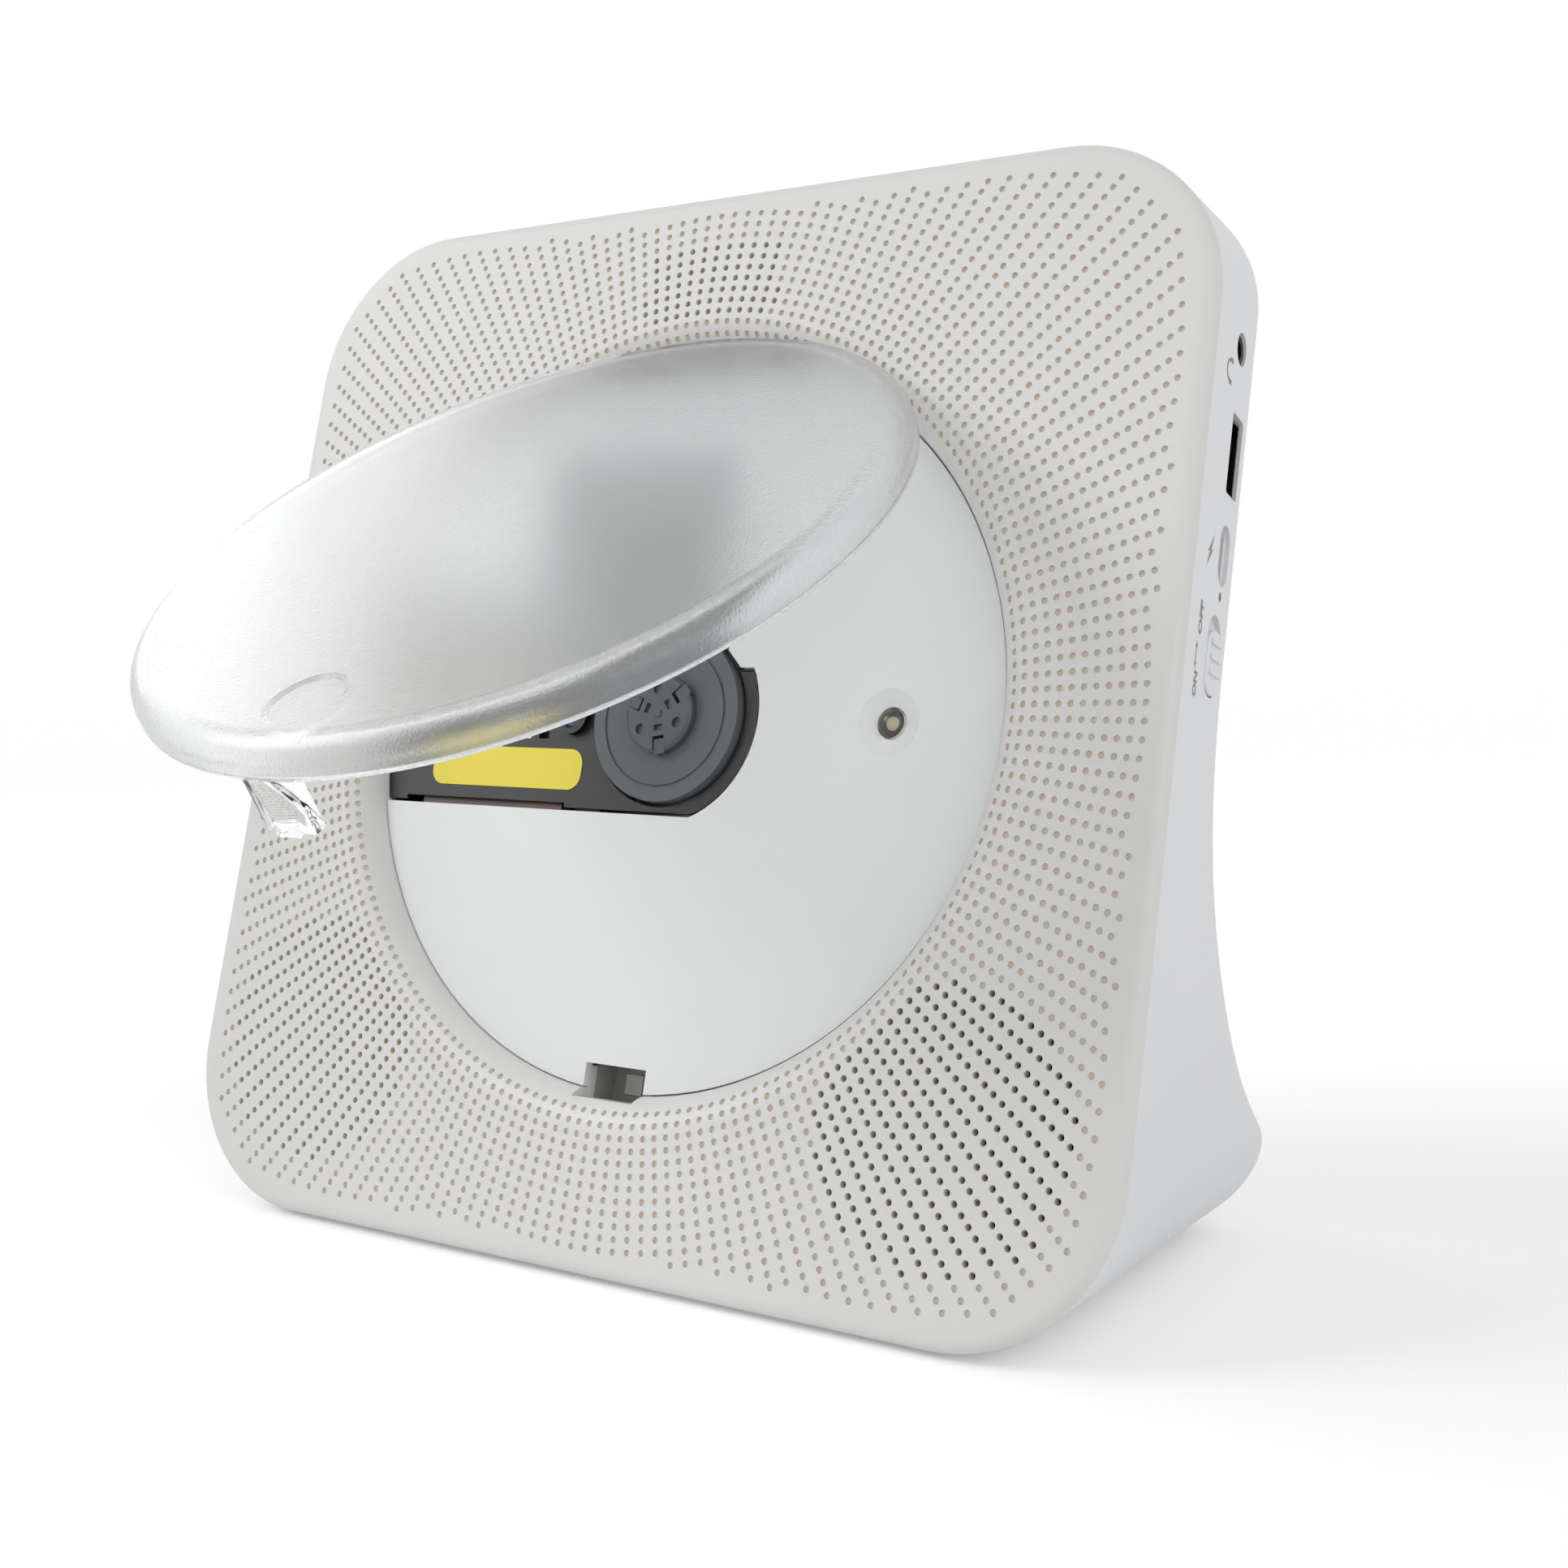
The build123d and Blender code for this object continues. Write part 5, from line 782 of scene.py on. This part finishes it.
finished(dish, "turned_lid", LID, "lid", "frosted_plastic", frosted_pc)
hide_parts("lid")
print("lid:", len(dish.data.polygons), "faces")

# %% [markdown]
# The latch spring closes up as its plunger goes in. It is wound here as a tube round a helix.
# %% Latch spring
COIL_X, COIL_UP, COIL_RADIUS, WIRE, TURNS = -2.2, -68.65, 1.6, 0.25, 3
COIL_FOOT, COIL_TOP = 20.7, 18.3
STEPS, AROUND = 72, 8
points = []
for step in range(STEPS + 1):
    turn = 2 * math.pi * TURNS * step / STEPS
    depth = COIL_FOOT + (COIL_TOP - COIL_FOOT) * step / STEPS
    for part in range(AROUND):
        way = 2 * math.pi * part / AROUND
        radius = COIL_RADIUS + WIRE * math.cos(way)
        points.append((COIL_X + radius * math.cos(turn), COIL_UP + radius * math.sin(turn),
                       -depth + WIRE * math.sin(way)))
faces = [(step * AROUND + part, step * AROUND + (part + 1) % AROUND,
          (step + 1) * AROUND + (part + 1) % AROUND, (step + 1) * AROUND + part)
         for step in range(STEPS) for part in range(AROUND)]
faces += [tuple(range(AROUND))[::-1], tuple(range(STEPS * AROUND, (STEPS + 1) * AROUND))]
spring = mesh_piece("spring", points, faces)
finished(spring, "wound_latch_spring", FACE, "housing", "steel", zinc_steel)
smooth(spring, 60)
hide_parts("latch_spring")
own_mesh(spring)
print("latch spring wound,", TURNS, "turns")

# %% [markdown]
# The player stands on a plain pale floor in front of nothing. The world is white to the camera, to
# reflections and through clear plastic, and a plain soft light for everything else. The floor's own
# colour is lifted for the same rays, so the background is white without more light on the case, and
# the floor keeps the shadow.
# %% World and floor
def seen_directly(tree):
    """1 for rays that show the background: straight, by reflection or through clear plastic."""
    rays = add(tree, "ShaderNodeLightPath").outputs
    first = add(tree, "ShaderNodeMath", {0: rays["Is Camera Ray"], 1: rays["Is Glossy Ray"]},
                operation="MAXIMUM")
    return add(tree, "ShaderNodeMath", {0: first.outputs[0], 1: rays["Is Transmission Ray"]},
               operation="MAXIMUM").outputs[0]


world = bpy.data.worlds.new("plain_white")
bpy.context.scene.world = world
world.use_nodes = True
world.node_tree.nodes.clear()
ambient = add(world.node_tree, "ShaderNodeBackground", {"Color": linear("#FFFFFF"), "Strength": 0.5})
backdrop = add(world.node_tree, "ShaderNodeBackground", {"Color": linear("#FFFFFF"), "Strength": 1.0})
sky = add(world.node_tree, "ShaderNodeMixShader", {0: seen_directly(world.node_tree), 1: ambient.outputs[0],
                                                   2: backdrop.outputs[0]})
add(world.node_tree, "ShaderNodeOutputWorld", {"Surface": sky.outputs[0]})


def painted_table(lift):
    """White satin paint; lift is the light it gives off to rays that show the background."""
    material, tree, place = new_material("white_painted_table")
    paint = add(tree, "ShaderNodeTexNoise", {"Vector": place, "Scale": 4.0, "Detail": 1.0})
    rough = add(tree, "ShaderNodeMapRange", {"Value": paint.outputs["Fac"], "To Min": 0.75, "To Max": 0.85})
    shader = add(tree, "ShaderNodeBsdfPrincipled", {"Base Color": linear("#FAFAFA"),
                                                    "Roughness": rough.outputs["Result"],
                                                    "Specular IOR Level": 0.1})
    strength = add(tree, "ShaderNodeMath", {0: seen_directly(tree), 1: lift}, operation="MULTIPLY")
    glow = add(tree, "ShaderNodeEmission", {"Color": linear("#FFFFFF"), "Strength": strength.outputs[0]})
    both = add(tree, "ShaderNodeAddShader", {0: shader.outputs[0], 1: glow.outputs[0]})
    return surface(material, tree, both.outputs[0])


FLOOR_SIZE, FLOOR_LIFT = 30.0, 0.2
bpy.ops.object.select_all(action="DESELECT")
bpy.ops.mesh.primitive_plane_add(size=FLOOR_SIZE)
floor = bpy.context.object
floor.name = "floor"
floor.data.materials.append(painted_table(FLOOR_LIFT))
print("world and floor ready")

# %% [markdown]
# Two distant softboxes light the player evenly from both sides of the front, and a near one stands
# behind the open lid on the left, where it makes the etched plastic glow.
# %% Lamps
SOFTBOX_PLACE, SOFTBOX_AIM = Vector((-0.85, 0.2, 0.6)), Vector((-0.03, -0.06, 0.13))
SOFTBOX_SIZE, SOFTBOX_WATTS = 0.5, 1.0


def shine_along(lamp, direction):
    """Turns a lamp so that it shines along the direction."""
    lamp.rotation_euler = direction.to_track_quat("-Z", "Y").to_euler()


def wide_light(name, source, irradiance, spread):
    """A very wide, distant softbox: even light from the direction of source."""
    sun = bpy.data.lights.new(name, "SUN")
    sun.energy, sun.angle = irradiance, math.radians(spread)
    shine_along(linked(name, sun), -Vector(source))


wide_light("key_softbox", (-0.75, -0.6, 0.6), 1.05, 30)
wide_light("fill_softbox", (0.8, -0.35, 0.5), 0.85, 60)
softbox = bpy.data.lights.new("lid_softbox", "AREA")
softbox.shape, softbox.size, softbox.energy = "SQUARE", SOFTBOX_SIZE, SOFTBOX_WATTS
lid_softbox = linked("lid_softbox", softbox)
lid_softbox.location = SOFTBOX_PLACE
shine_along(lid_softbox, SOFTBOX_AIM - SOFTBOX_PLACE)
print("lamps ready")

# %% [markdown]
# The camera stands to the right of the player at about the height of its middle. Its place is given in
# the face's own right, up and outward, and its direction as a turn to the left and a slight fall.
# %% Camera
CAMERA_PLACE = (216.80, -59.29, 284.38)
CAMERA_TURN = math.radians(32.45)
CAMERA_FALL = math.radians(3.2)
FOCAL_LENGTH, SENSOR_WIDTH, SHIFT_RIGHT, SHIFT_UP = 44.70, 36.0, -0.0077, -0.0201
camera_data = bpy.data.cameras.new("camera")
camera = linked("camera", camera_data)
camera.location = FACE @ (Vector(CAMERA_PLACE) * MM)
camera.rotation_euler = (math.pi / 2 - CAMERA_FALL, 0, CAMERA_TURN)
camera_data.sensor_width = SENSOR_WIDTH
camera_data.lens = FOCAL_LENGTH
camera_data.shift_x = SHIFT_RIGHT
camera_data.shift_y = SHIFT_UP
bpy.context.scene.camera = camera
bpy.context.scene.view_settings.view_transform = "Standard"
print("camera at", [round(v, 4) for v in camera.location])
